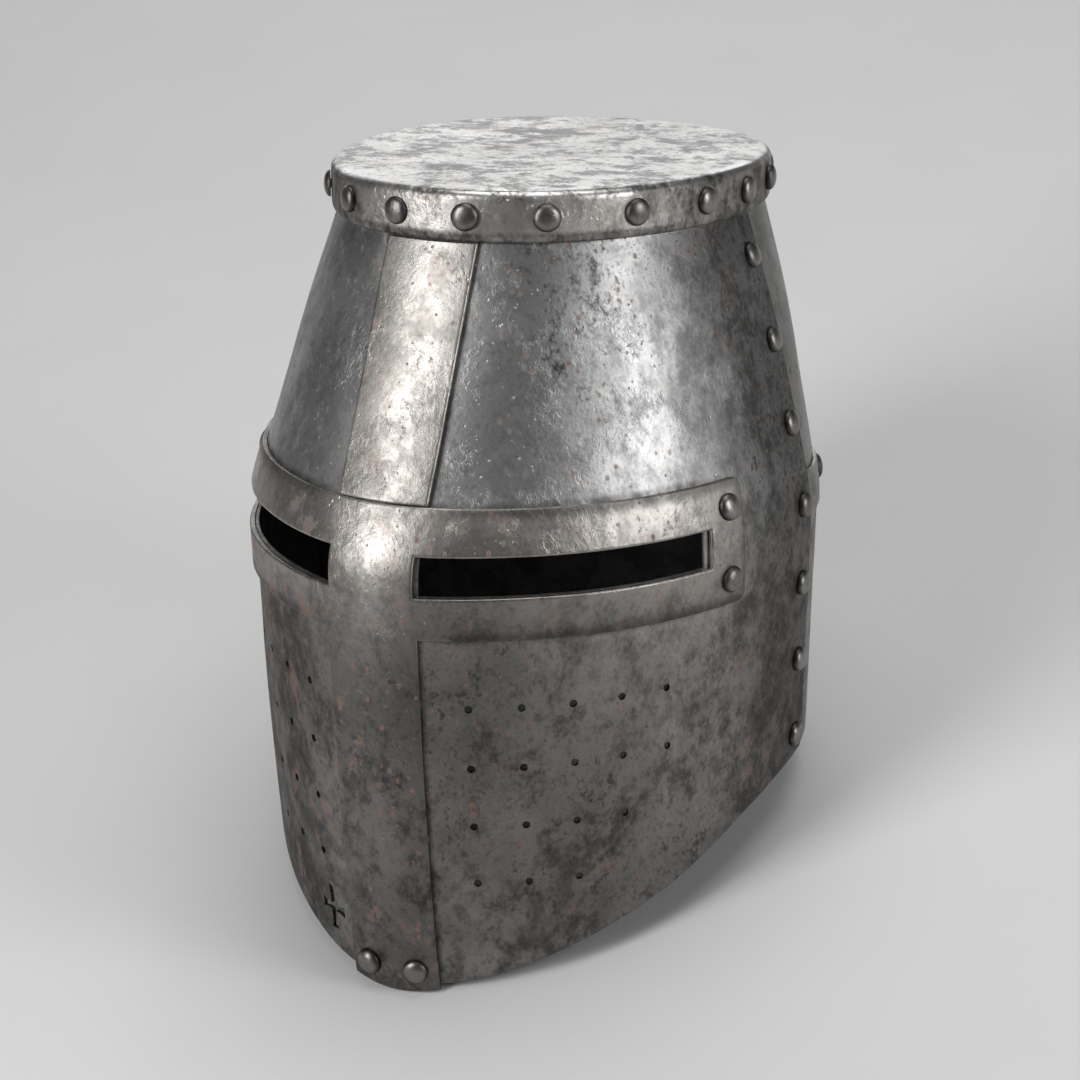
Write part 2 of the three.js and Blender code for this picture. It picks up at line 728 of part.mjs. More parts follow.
function namedMesh(name, geometry, material) {
  geometry.computeVertexNormals();
  const mesh = new THREE.Mesh(geometry, material);
  mesh.name = name;
  return mesh;
}

const helm = new THREE.Group();
helm.add(toMesh("crown_cap", crownCap(), strapSteel));
helm.add(toMesh("front_plate", frontPlate(), faceSteel));
helm.add(toMesh("rear_upper_plate", rearUpperPlate(), skullSteel));
helm.add(toMesh("rear_lower_plate", rearLowerPlate(), rearSteel));
helm.add(toMesh("brow_strap", browStrap(), strapSteel));
helm.add(toMesh("face_cross", faceCross(), strapSteel));
for (const rivet of rivets) {
  const mesh = namedMesh(rivet.name, rivetGeometry(rivet), rivetSteel);
  mesh.applyMatrix4(outwardAt(rivet.angle, rivet.height, 0));
  helm.add(mesh);
}

// Lowest point of the front or the rear when the helm leans back by an angle
function lowestOf(points, lean) {
  const height = (point) => point.z * Math.cos(lean) - point.y * Math.sin(lean);
  return points.reduce((best, point) => (height(point) < height(best) ? point : best));
}

function pointsOf(name) {
  const position = helm.getObjectByName(name).geometry.attributes.position;
  return range(0, position.count - 1).map((i) => new THREE.Vector3().fromBufferAttribute(position, i));
}

// Angle by which the helm leans back until its front point and its rear edge both touch the ground
function restingLean() {
  const front = pointsOf("face_cross");
  const rear = pointsOf("rear_lower_plate");
  let lean = 0;
  for (let i = 0; i < LEAN_ROUNDS; i += 1) {
    const toe = lowestOf(front, lean);
    const heel = lowestOf(rear, lean);
    lean = Math.atan2(heel.z - toe.z, heel.y - toe.y);
  }
  return lean;
}

helm.rotation.x = -restingLean();
helm.updateMatrixWorld(true);
const bounds = new THREE.Box3().setFromObject(helm, true);
const centre = bounds.getCenter(new THREE.Vector3());
helm.position.set(-centre.x, -centre.y, -bounds.min.z);

const group = new THREE.Group();
group.add(helm);

export default group;
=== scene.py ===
import math
from functools import lru_cache

import bpy
import numpy as np
from mathutils import Matrix, Vector


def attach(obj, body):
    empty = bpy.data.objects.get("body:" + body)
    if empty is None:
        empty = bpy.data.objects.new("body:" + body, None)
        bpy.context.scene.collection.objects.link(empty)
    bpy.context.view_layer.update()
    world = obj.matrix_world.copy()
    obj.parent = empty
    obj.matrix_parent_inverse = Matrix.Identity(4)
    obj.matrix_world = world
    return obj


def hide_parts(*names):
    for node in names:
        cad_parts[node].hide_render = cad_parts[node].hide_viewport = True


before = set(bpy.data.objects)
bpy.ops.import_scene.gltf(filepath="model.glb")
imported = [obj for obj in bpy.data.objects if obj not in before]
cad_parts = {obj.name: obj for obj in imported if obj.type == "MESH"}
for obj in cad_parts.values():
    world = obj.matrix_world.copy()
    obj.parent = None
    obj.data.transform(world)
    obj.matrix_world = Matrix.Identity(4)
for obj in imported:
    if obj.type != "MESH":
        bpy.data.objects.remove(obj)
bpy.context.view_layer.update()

# Sizes of the shell, in metres, upright and facing -Y. The waist is its widest level.
WAIST_HALF_WIDTH = 0.125
WAIST_FRONT_REACH = 0.1725
WAIST_BACK_REACH = 0.098
PROW = 0.0096
PROW_HALF_WIDTH = 0.048
WAIST_HEIGHT = 0.197
RIM_HEIGHT = 0.3225
CROWN_HEIGHT = 0.344
FLAT_TOP = CROWN_HEIGHT - 0.00015
SEAM_CORNER_HEIGHT = 0.0775
SEAM_ANGLE = math.radians(89.5)
SEAM_EASE = math.radians(8)
STEP_ANGLE = math.radians(9)

# Sheets and what is left between them
PLATE = 0.0016
STRAP = 0.0022
CAP = 0.0024
TONGUE = 0.0009
TONGUE_RISE = 0.015
GAP = 0.0003
REAR_OFFSET = -PLATE - GAP

# Grid lines in a sheet: how far apart, and how near an edge the extra line lies that keeps its bevel clean
MESH_STEP = 0.003
PLATE_RIM = 0.0012
REAR_RIM = 0.001
CROSS_RIM = 0.0014
BROW_RIM = 0.0016
PLATE_BEVEL = 0.0005
STRAP_BEVEL = 0.0009
STRAP_BEVEL_SEGMENTS = 3

# Straps, sights, breaths and the small cross
STRAP_HALF = 0.0205
STRAP_END_DROP = 0.00195
STRAP_END_RISE = 0.0026
SIGHT_LEVEL = 0.194
ARM_HEIGHT = 0.0537
ARM_START = 0.06
ARM_END = math.radians(69.8)
ARM_CORNER = 0.005
SIGHT_HEIGHT = 0.0163
SIGHT_START = 0.0193
SIGHT_END = math.radians(62.5)
SIGHT_LEDGE = 0.0022
BREATH_RADIUS = 0.00175
BREATH_CORNERS = 20
BREATH_START = 0.0405
BREATH_PITCH = 0.0222
BREATH_TOP = 0.136
BREATH_ROW_PITCH = 0.0274
BREATHS_IN_ROWS = (5, 5, 4, 3)
CROSS_OUT = 0.0365
CROSS_HEIGHT = 0.0265
CROSS_TALL = 0.022
CROSS_WIDE = 0.0175
CROSS_BAR = 0.003
CROSS_FLARE = 0.0012
CROSS_FLARE_START = 0.3
CUTTER_DEPTH = 0.02

# Laps
SEAM_LAP = 0.017
LAP_TOP = 0.208
LAP_BOTTOM = 0.19
LAP_FOOT = 0.209
LAP_RAMP = 0.004
LAP_PROUD = 0.0013

# Rivets. The crown's are given as shares of the way round to the side seam.
RIVET_RADIUS = 0.006
RIVET_HEIGHT = 0.0033
SHANK_RADIUS = 0.002
TAIL_RADIUS = 0.0036
TAIL_HEIGHT = 0.0013
TAIL_CLEARANCE = 0.0008
RIVET_INSET = 0.0085
CROWN_RIVET_SHARES = (0.097, 0.3, 0.543, 0.79, 1)
BACK_CROWN_RIVETS = 8
SEAM_RIVETS = 7
SEAM_RIVET_START = 0.086
SEAM_RIVET_PITCH = 0.0365
ARM_RIVET_INSET = 0.0115
ARM_RIVET_FROM_END = 0.0095
END_RIVET_OUT = 0.0109
END_RIVET_HEIGHT = 0.01
WAIST_RIVETS = 6

# Rest: how far the helm leans back, and where its upright origin then lies
LEAN = math.radians(17.278132517694754)
REST_PLACE = Vector((0, -0.01704045, -0.04611684))

ARM_TOP = SIGHT_LEVEL + ARM_HEIGHT / 2
ARM_BOTTOM = SIGHT_LEVEL - ARM_HEIGHT / 2
SIGHT_TOP = SIGHT_LEVEL + SIGHT_HEIGHT / 2
SIGHT_BOTTOM = SIGHT_LEVEL - SIGHT_HEIGHT / 2
PLATE_TOP = CROWN_HEIGHT - CAP - GAP

# Shares of the shell's sizes by level, which is 0 at the point, 1 at the waist and 2 at the rim. The columns
# full and full_back are the exponents that round the section in front and at the back.
SECTION_COLUMNS = ("level", "width", "front", "back", "prow", "full", "full_back")
SECTIONS = np.array([
    (0.0, 0.967, 0.88, 0.96, 1.0, 0.99, 1.1),
    (0.12, 0.977, 0.904, 0.965, 0.97, 0.98, 1.1),
    (0.42, 0.994, 0.948, 0.98, 0.91, 0.955, 1.12),
    (0.71, 1.001, 0.98, 0.99, 0.85, 0.93, 1.13),
    (0.87, 1.002, 0.993, 0.995, 0.81, 0.915, 1.13),
    (1.0, 0.999, 0.997, 1.0, 0.78, 0.9, 1.13),
    (1.16, 0.966, 0.953, 0.99, 0.67, 0.9, 1.09),
    (1.33, 0.924, 0.902, 0.985, 0.54, 0.9, 1.05),
    (1.67, 0.832, 0.808, 0.975, 0.3, 0.9, 0.97),
    (2.0, 0.724, 0.718, 0.958, 0.06, 0.9, 0.9),
])
# The lower edge's rise, as shares of the way to the side seam and of its corner's height
LOWER_EDGE = np.array([(0, 0), (0.2, 0.075), (0.4, 0.26), (0.6, 0.505), (0.8, 0.795), (1, 1)])


def smoothstep(x, low, high):
    t = np.clip((np.asarray(x, float) - low) / (high - low), 0, 1)
    return t * t * (3 - 2 * t)


def interpolate(rows, at, column):
    """Smooth curve through rows of numbers, with column 0 as the place along it."""
    place, value = rows[:, 0], rows[:, column]
    low = np.maximum(np.arange(len(rows)) - 1, 0)
    high = np.minimum(np.arange(len(rows)) + 1, len(rows) - 1)
    slope = (value[high] - value[low]) / (place[high] - place[low])
    i = np.clip(np.searchsorted(place, at, side="right") - 1, 0, len(rows) - 2)
    span = place[i + 1] - place[i]
    t = np.clip((at - place[i]) / span, 0, 1)
    from_low = (1 + 2 * t) * (1 - t) ** 2 * value[i] + t * (1 - t) ** 2 * span * slope[i]
    return from_low + t * t * (3 - 2 * t) * value[i + 1] - t * t * (1 - t) * span * slope[i + 1]


def section(height):
    height = np.asarray(height, float)
    above = 1 + (height - WAIST_HEIGHT) / (RIM_HEIGHT - WAIST_HEIGHT)
    level = np.where(height < WAIST_HEIGHT, height / WAIST_HEIGHT, above)
    return {name: interpolate(SECTIONS, level, i) for i, name in enumerate(SECTION_COLUMNS)}


def half_width(height):
    return section(height)["width"] * WAIST_HALF_WIDTH


def on_shell(angle, height):
    """Points on the front plate's outer surface, and on its continuation round the back."""
    size = section(height)
    x = size["width"] * WAIST_HALF_WIDTH * np.sin(angle)
    forward = np.cos(angle)
    prow = size["prow"] * PROW * np.exp(-((x / PROW_HALF_WIDTH) ** 2))
    ahead = -size["front"] * WAIST_FRONT_REACH * np.maximum(forward, 0) ** size["full"] - prow
    behind = size["back"] * WAIST_BACK_REACH * np.maximum(-forward, 0) ** size["full_back"]
    y = np.where(forward > 0, ahead, behind)
    return np.stack([x, y, np.broadcast_to(height, x.shape)], axis=-1)


PROBE_ANGLE = 0.02
PROBE_HEIGHT = 0.001


def outward(angle, height):
    """Normals of the shell, from points a little to each side."""
    around = on_shell(angle + PROBE_ANGLE, height) - on_shell(angle - PROBE_ANGLE, height)
    up = on_shell(angle, height + PROBE_HEIGHT) - on_shell(angle, height - PROBE_HEIGHT)
    normal = np.cross(around, up)
    return normal / np.linalg.norm(normal, axis=-1, keepdims=True)


HAMMER_DEPTH = 0.00042
WAVE_COUNT = 36
WAVE_LENGTHS = (0.028, 0.095)

chance = np.random.default_rng(11)
wave_directions = chance.normal(size=(WAVE_COUNT, 3))
wave_directions /= np.linalg.norm(wave_directions, axis=1, keepdims=True)
wave_numbers = 2 * math.pi / chance.uniform(*WAVE_LENGTHS, WAVE_COUNT)
wave_phases = chance.uniform(0, 2 * math.pi, WAVE_COUNT)


def hammered(points):
    """How far the sheets lie under the drawn shell, from the hammer that shaped them."""
    phase = points @ (wave_directions * wave_numbers[:, None]).T + wave_phases
    wave = np.cos(phase).sum(axis=-1) / math.sqrt(WAVE_COUNT)
    return HAMMER_DEPTH * (0.5 + 0.5 * np.tanh(wave))


def shell_points(angle, height, offset):
    """Points at a distance out from the hammered shell."""
    base = on_shell(angle, height)
    return base + outward(angle, height) * (offset - hammered(base))[..., None]


ARC_POINTS = 721


@lru_cache(maxsize=None)
def arc_table(height):
    """Angles from the front's middle to the back's, and the lengths round the shell up to each."""
    angles = np.linspace(0, math.pi, ARC_POINTS)
    points = on_shell(angles, np.full(angles.shape, height))
    lengths = np.linalg.norm(np.diff(points, axis=0), axis=1)
    return angles, np.concatenate([[0], np.cumsum(lengths)])


def arc_to(angle, height):
    angles, arcs = arc_table(height)
    return float(np.interp(angle, angles, arcs))


def angle_at(arc, height):
    angles, arcs = arc_table(height)
    return float(np.interp(arc, arcs, angles))


# Half the way round the shell at the sight level, which is the length that flat sheets are measured on
HALF_ROUND = arc_to(math.pi, SIGHT_LEVEL)


def flat_to_angle(flat):
    """Angle at a length along the sight level, also past the middle of the back."""
    angles, arcs = arc_table(SIGHT_LEVEL)
    length = np.abs(flat)
    short = np.interp(np.minimum(length, 2 * HALF_ROUND - length), arcs, angles)
    return np.sign(flat) * np.where(length > HALF_ROUND, 2 * math.pi - short, short)


def angle_to_flat(angle):
    return math.copysign(arc_to(abs(angle), SIGHT_LEVEL), angle)


SEAM_FLAT = angle_to_flat(SEAM_ANGLE)


def lower_edge(angle):
    """Height of the front plate's lower edge."""
    share = np.clip(np.abs(angle) / SEAM_ANGLE, 0, 1)
    return SEAM_CORNER_HEIGHT * interpolate(LOWER_EDGE, share, 1)


# Modelling steps. Those on a sheet take it flat, with its length round the helm along X, its height along Y
# and its outer face at 0.


def vertex_array(mesh):
    flat = np.empty(len(mesh.vertices) * 3)
    mesh.vertices.foreach_get("co", flat)
    return flat.reshape(-1, 3)


def write_vertices(mesh, points):
    mesh.vertices.foreach_set("co", np.asarray(points, float).ravel())
    mesh.update()


def only(obj):
    bpy.ops.object.select_all(action="DESELECT")
    obj.select_set(True)
    bpy.context.view_layer.objects.active = obj


def pick(obj, mode, test):
    """Selects the faces or edges that pass a test and enters edit mode."""
    only(obj)
    bpy.ops.object.mode_set(mode="EDIT")
    bpy.ops.mesh.select_mode(type=mode)
    bpy.ops.mesh.select_all(action="DESELECT")
    bpy.ops.object.mode_set(mode="OBJECT")
    for part in obj.data.polygons if mode == "FACE" else obj.data.edges:
        part.select = bool(test(part))
    bpy.ops.object.mode_set(mode="EDIT")


def done():
    bpy.ops.object.mode_set(mode="OBJECT")


def spread(stops, rim):
    """Lines at the stops and between, and one more at the rim's width from a stop where there is room."""
    lines = []
    for low, high in zip(stops, stops[1:]):
        lines.append(low)
        inner_low, inner_high = (low + rim, high - rim) if high - low > 3 * rim else (low, high)
        count = max(1, math.ceil((inner_high - inner_low) / MESH_STEP))
        between = np.linspace(inner_low, inner_high, count + 1)
        lines.extend(between[0 if inner_low > low else 1 : None if inner_high < high else -1])
    return np.array(lines + [stops[-1]])


def flat_sheet(name, across, up, keep=None):
    """Flat grid with its lines at the given places, less the cells that keep turns down."""
    bpy.ops.mesh.primitive_grid_add(x_subdivisions=len(across) - 1, y_subdivisions=len(up) - 1, size=1)
    obj = bpy.context.object
    obj.name = name
    points = vertex_array(obj.data)
    column = np.rint((points[:, 0] + 0.5) * (len(across) - 1)).astype(int)
    row = np.rint((points[:, 1] + 0.5) * (len(up) - 1)).astype(int)
    write_vertices(obj.data, np.stack([across[column], up[row], np.zeros(len(points))], axis=1))
    if keep:
        pick(obj, "FACE", lambda face: not keep(face.center.x, face.center.y))
        bpy.ops.mesh.delete(type="FACE")
        done()
    return obj


def extrude_down(obj, depth):
    """Makes a flat mesh a closed block with its top at height 0."""
    pick(obj, "FACE", lambda face: True)
    bpy.ops.mesh.extrude_region_move(TRANSFORM_OT_translate={"value": (0, 0, -depth)})
    bpy.ops.mesh.select_all(action="SELECT")
    bpy.ops.mesh.normals_make_consistent(inside=False)
    done()


UPRIGHT_SLOPE = 0.5


def thicken(sheet, thickness, bevel, segments=2):
    """Gives the flat sheet its thickness and rounds its upper border."""
    extrude_down(sheet, thickness)
    points = vertex_array(sheet.data)
    slopes_at = {}
    for face in sheet.data.polygons:
        for key in face.edge_keys:
            slopes_at.setdefault(key, []).append(abs(face.normal.z))

    def border(edge):
        """An upper edge beside a face that stands upright."""
        ends = tuple(sorted(edge.vertices))
        return min(points[i, 2] for i in ends) > -thickness / 2 and min(slopes_at[ends]) < UPRIGHT_SLOPE

    pick(sheet, "EDGE", border)
    bpy.ops.mesh.bevel(offset=bevel, segments=segments, affect="EDGES", clamp_overlap=False)
    done()


def cut(sheet, cutters):
    """Joins the cutters and cuts them out of the sheet."""
    only(cutters[0])
    for cutter in cutters[1:]:
        cutter.select_set(True)
    if len(cutters) > 1:
        bpy.ops.object.join()
    tool = bpy.context.object
    only(sheet)
    modifier = sheet.modifiers.new("cut", "BOOLEAN")
    modifier.operation = "DIFFERENCE"
    modifier.solver = "EXACT"
    modifier.object = tool
    bpy.ops.object.modifier_apply(modifier=modifier.name)
    bpy.data.objects.remove(tool)


WELD = 0.000005


def lathe(name, profile, steps):
    """Closed solid turned round Z from a profile of (radius, height) points, from axis to axis."""
    bpy.ops.mesh.primitive_plane_add(size=0.001, location=(0, 0, 0))
    obj = bpy.context.object
    obj.name = name
    bpy.ops.object.mode_set(mode="EDIT")
    bpy.ops.mesh.select_mode(type="VERT")
    bpy.ops.mesh.select_all(action="SELECT")
    bpy.ops.mesh.merge(type="CENTER")
    bpy.ops.transform.translate(value=(profile[0][0], 0, profile[0][1]))
    for (r0, z0), (r1, z1) in zip(profile, profile[1:]):
        bpy.ops.mesh.extrude_vertices_move(TRANSFORM_OT_translate={"value": (r1 - r0, 0, z1 - z0)})
    bpy.ops.mesh.select_all(action="SELECT")
    bpy.ops.mesh.spin(steps=steps, angle=2 * math.pi, center=(0, 0, 0), axis=(0, 0, 1))
    bpy.ops.mesh.select_all(action="SELECT")
    bpy.ops.mesh.remove_doubles(threshold=WELD)
    bpy.ops.mesh.normals_make_consistent(inside=False)
    done()
    return obj


lean_matrix = Matrix.Translation(REST_PLACE) @ Matrix.Rotation(-LEAN, 4, "X")

# The hollow side is the one whose faces look against the way out from the shell's middle
SHELL_MIDDLE = 0.2
MIDDLE_FLATTENED = 0.4
LOOKS_INWARD = -0.3
SMOOTH_ANGLE = math.radians(38)


def finish_piece(obj, material, slot, *nodes, inside=None):
    """Leans the piece back to its rest and ties it to the frame. inside is its hollow side's material."""
    obj.data.materials.clear()
    obj.data.materials.append(material)
    if inside:
        obj.data.materials.append(inside)
        for face in obj.data.polygons:
            x, y, z = face.center
            away = Vector((x, y, (z - SHELL_MIDDLE) * MIDDLE_FLATTENED))
            face.material_index = int(face.normal.dot(away.normalized()) < LOOKS_INWARD)
    obj.data.transform(lean_matrix)
    only(obj)
    bpy.ops.object.mode_set(mode="EDIT")
    bpy.ops.mesh.select_all(action="SELECT")
    bpy.ops.mesh.normals_make_consistent(inside=False)
    done()
    bpy.ops.object.shade_smooth_by_angle(angle=SMOOTH_ANGLE)
    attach(obj, "root")
    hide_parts(*nodes)


# Materials


class Value:
    """A number, colour or vector socket in a material's graph, with sums written as sums."""

    def __init__(self, graph, socket):
        self.graph = graph
        self.socket = socket

    def math(self, operation, *others, flip=False):
        terms = [self, *others]
        if flip:
            terms.reverse()
        return self.graph.add("ShaderNodeMath", {"operation": operation}, dict(enumerate(terms)))

    def __add__(self, other):
        return self.math("ADD", other)

    def __mul__(self, other):
        return self.math("MULTIPLY", other)

    def __sub__(self, other):
        return self.math("SUBTRACT", other)

    def __rsub__(self, other):
        return self.math("SUBTRACT", other, flip=True)

    __radd__ = __add__
    __rmul__ = __mul__

    def __abs__(self):
        return self.math("ABSOLUTE")

    def at_most(self, other):
        return self.math("MINIMUM", other)

    def at_least(self, other):
        return self.math("MAXIMUM", other)

    def rise(self, low, high):
        """0 up to low, 1 from high on, and smooth between."""
        settings = {"interpolation_type": "SMOOTHSTEP"}
        values = {"Value": self, "From Min": low, "From Max": high}
        return self.graph.add("ShaderNodeMapRange", settings, values)

    def fall(self, low, high):
        return 1 - self.rise(low, high)


# A Mix node's colour sockets
MIX_SHARE, MIX_LOW, MIX_HIGH, MIX_RESULT = 0, 6, 7, 2


class Graph:
    """A material's nodes. upright is the place on the helm before it leant back, in parts x, y and z."""

    def __init__(self, name):
        self.material = bpy.data.materials.new(name)
        self.material.use_nodes = True
        self.tree = self.material.node_tree
        self.surface = self.tree.nodes["Principled BSDF"]
        coordinates = Value(self, self.tree.nodes.new("ShaderNodeTexCoord").outputs["Object"])
        back = Matrix.Rotation(LEAN, 4, "X") @ -REST_PLACE
        values = {"Vector": coordinates, "Location": back, "Rotation": (LEAN, 0, 0)}
        self.upright = self.add("ShaderNodeMapping", {"vector_type": "POINT"}, values)
        parts = self.tree.nodes.new("ShaderNodeSeparateXYZ")
        self.link(self.upright, parts.inputs[0])
        self.x, self.y, self.z = (Value(self, output) for output in parts.outputs)

    def link(self, value, socket):
        if isinstance(value, Value):
            self.tree.links.new(value.socket, socket)
        else:
            socket.default_value = value

    def add(self, kind, settings, values, output=None):
        node = self.tree.nodes.new(kind)
        for name, setting in settings.items():
            setattr(node, name, setting)
        for key, value in values.items():
            self.link(value, node.inputs[key])
        outputs = [socket for socket in node.outputs if socket.enabled]
        return Value(self, node.outputs[output] if output else outputs[0])

    def stretched(self, scale, turn=(0, 0, 0)):
        """The upright place, turned and then scaled by each axis."""
        values = {"Vector": self.upright, "Rotation": turn}
        turned = self.add("ShaderNodeMapping", {"vector_type": "POINT"}, values)
        return self.add("ShaderNodeVectorMath", {"operation": "MULTIPLY"}, {0: turned, 1: scale})

    def noise(self, where, scale, detail=3, roughness=0.55, distortion=0.0):
        values = {
            "Vector": where,
            "Scale": scale,
            "Detail": detail,
            "Roughness": roughness,
            "Distortion": distortion,
        }
        return self.add("ShaderNodeTexNoise", {}, values)

    def cells(self, where, scale):
        """Distance to the nearest of scattered points."""
        values = {"Vector": where, "Scale": scale}
        return self.add("ShaderNodeTexVoronoi", {"feature": "F1"}, values, "Distance")

    def mix(self, share, low, high):
        """Colour between two colours."""
        node = self.tree.nodes.new("ShaderNodeMix")
        node.data_type = "RGBA"
        node.clamp_factor = True
        for socket, value in ((MIX_SHARE, share), (MIX_LOW, low), (MIX_HIGH, high)):
            self.link(value, node.inputs[socket])
        return Value(self, node.outputs[MIX_RESULT])

    def bump(self, height, strength, distance, below=None):
        values = {"Height": height, "Strength": strength, "Distance": distance}
        if below:
            values["Normal"] = below
        return self.add("ShaderNodeBump", {}, values)

    def finish(self, **sockets):
        for name, value in sockets.items():
            self.link(value, self.surface.inputs[name.replace("_", " ")])
        return self.material


# Dark colour of the stains and of the painted shade laid in with them
DARK_STAIN_AND_SHADE = (0.04, 0.038, 0.036, 1)
RUST = (0.235, 0.145, 0.122, 1)

# Where layers of the finish and of the painted shade fade, as limits along the upright helm's X, Y or Z in
# metres
LOWER_HALF_Z = (ARM_BOTTOM - 0.02, ARM_TOP)
SHADE_REACH = 0.003
FRONT_HALF_Y = (-0.02, 0.0)
OVER_ARM_X = (0.105, 0.111)
UNDER_ARM_X = (0.112, 0.117)
UNDER_FLANGE_Z = (RIM_HEIGHT - 0.012, RIM_HEIGHT - 0.001)
BORDER_REACH = 0.0055
BORDER_END_REACH = 0.006
SKULL_Z = (0.205, 0.225)
STAINED_SEAM_Y = (-0.085, -0.025)
STAINED_CHEEK_Z = (0.13, 0.19)
SHADED_SEAM_Y = (-0.095, -0.03)
SHADED_CHEEK_X = (-0.06, -0.01)
SHADED_FLANGE_X = (-0.06, -0.015)
SHADED_FLANGE_Y = (-0.115, -0.05)
FLANGE_EDGE_Z = (RIM_HEIGHT + 0.003, RIM_HEIGHT + 0.006)
FLANGE_Z = (CROWN_HEIGHT - 0.004, CROWN_HEIGHT - 0.001)
RUN_DOWN_Z = (0.10, 0.24)
FAR_SIDE_X = (-0.06, 0.03)
RUSTY_Z = (0.14, 0.22)
DENTED_X = (-0.06, -0.03)

# How many to the metre the noises go, from the broadest to the finest
BROAD, DRIFTING, CLOUDY, MOTTLED, GRAINY, FINE = 11, 27, 46, 150, 520, 1700


def near(value, place, width):
    """1 where a value is at a place, falling to 0 at a width from it."""
    return abs(value - place).fall(0, width)


def strap_and_flange_shade(g):
    """Painted shade in the corners beside the straps and the arms, and on the plate under the flange."""
    out = abs(g.x)
    above = g.z.rise(ARM_TOP - 0.001, ARM_TOP + 0.001)
    strap = near(out, STRAP_HALF + 0.0005, SHADE_REACH) * above
    lower_strap = near(out, STRAP_HALF + 0.0003, 0.0025) * (1 - above)
    over_arm = near(g.z, ARM_TOP + 0.0005, SHADE_REACH) * out.fall(*OVER_ARM_X)
    under_arm = near(g.z, ARM_BOTTOM, SHADE_REACH) * out.fall(*UNDER_ARM_X)
    patchy = g.noise(g.upright, 70, 3, 0.6).rise(0.35, 0.6)
    lines = strap.at_least(lower_strap).at_least(over_arm).at_least(under_arm) * g.y.fall(*FRONT_HALF_Y)
    return lines * (0.25 + 0.5 * patchy) + g.z.rise(*UNDER_FLANGE_Z) * patchy * 0.5


def arm_border_shade(g):
    """Painted shade along the arms' rounded upper and lower borders and at their ends."""
    end = float(on_shell(np.array(ARM_END), np.array(SIGHT_LEVEL))[1])
    upper = near(g.z, ARM_TOP - 0.0008, BORDER_REACH)
    lower = near(g.z, ARM_BOTTOM + 0.001, BORDER_REACH)
    beyond_strap = abs(g.x).rise(STRAP_HALF, STRAP_HALF + 0.02)
    return upper.at_least(lower).at_least(near(g.y, end, BORDER_END_REACH)) * beyond_strap * 0.75


def old_stains(g):
    """Where dark stain marks are thicker: beside the brow, at the side seam and across the cheek."""
    brow = near(g.x, 0.05, 0.03) * g.z.rise(*SKULL_Z)
    seam = g.y.rise(*STAINED_SEAM_Y) * g.x.rise(0, 0.02)
    cheek = g.z.fall(*STAINED_CHEEK_Z)
    return (brow * 0.6).at_least(seam).at_least(cheek * 0.5)


def side_and_cheek_shade(g):
    """Painted shade where the plates lie darker: by the side seams and on the wearer's right cheek."""
    seam = g.y.rise(*SHADED_SEAM_Y) * 0.78
    cheek = g.x.fall(*SHADED_CHEEK_X) * g.z.fall(*LOWER_HALF_Z) * 0.85
    return seam.at_least(cheek)


def flange_painted_shade(g):
    """Painted shade on the flange at its sides and along its lower edge."""
    sides = (g.x.fall(*SHADED_FLANGE_X) * 0.85).at_least(g.y.rise(*SHADED_FLANGE_Y) * 0.78)
    edge = g.z.fall(*FLANGE_EDGE_Z) * 0.8
    return sides.at_least(edge) * g.z.fall(*FLANGE_Z)


def rivet_foot_shade(g):
    """Painted shade round the foot of a rivet's head."""
    return g.add("ShaderNodeAttribute", {"attribute_name": "rim"}, {}, "Fac").rise(0.72, 1.0)


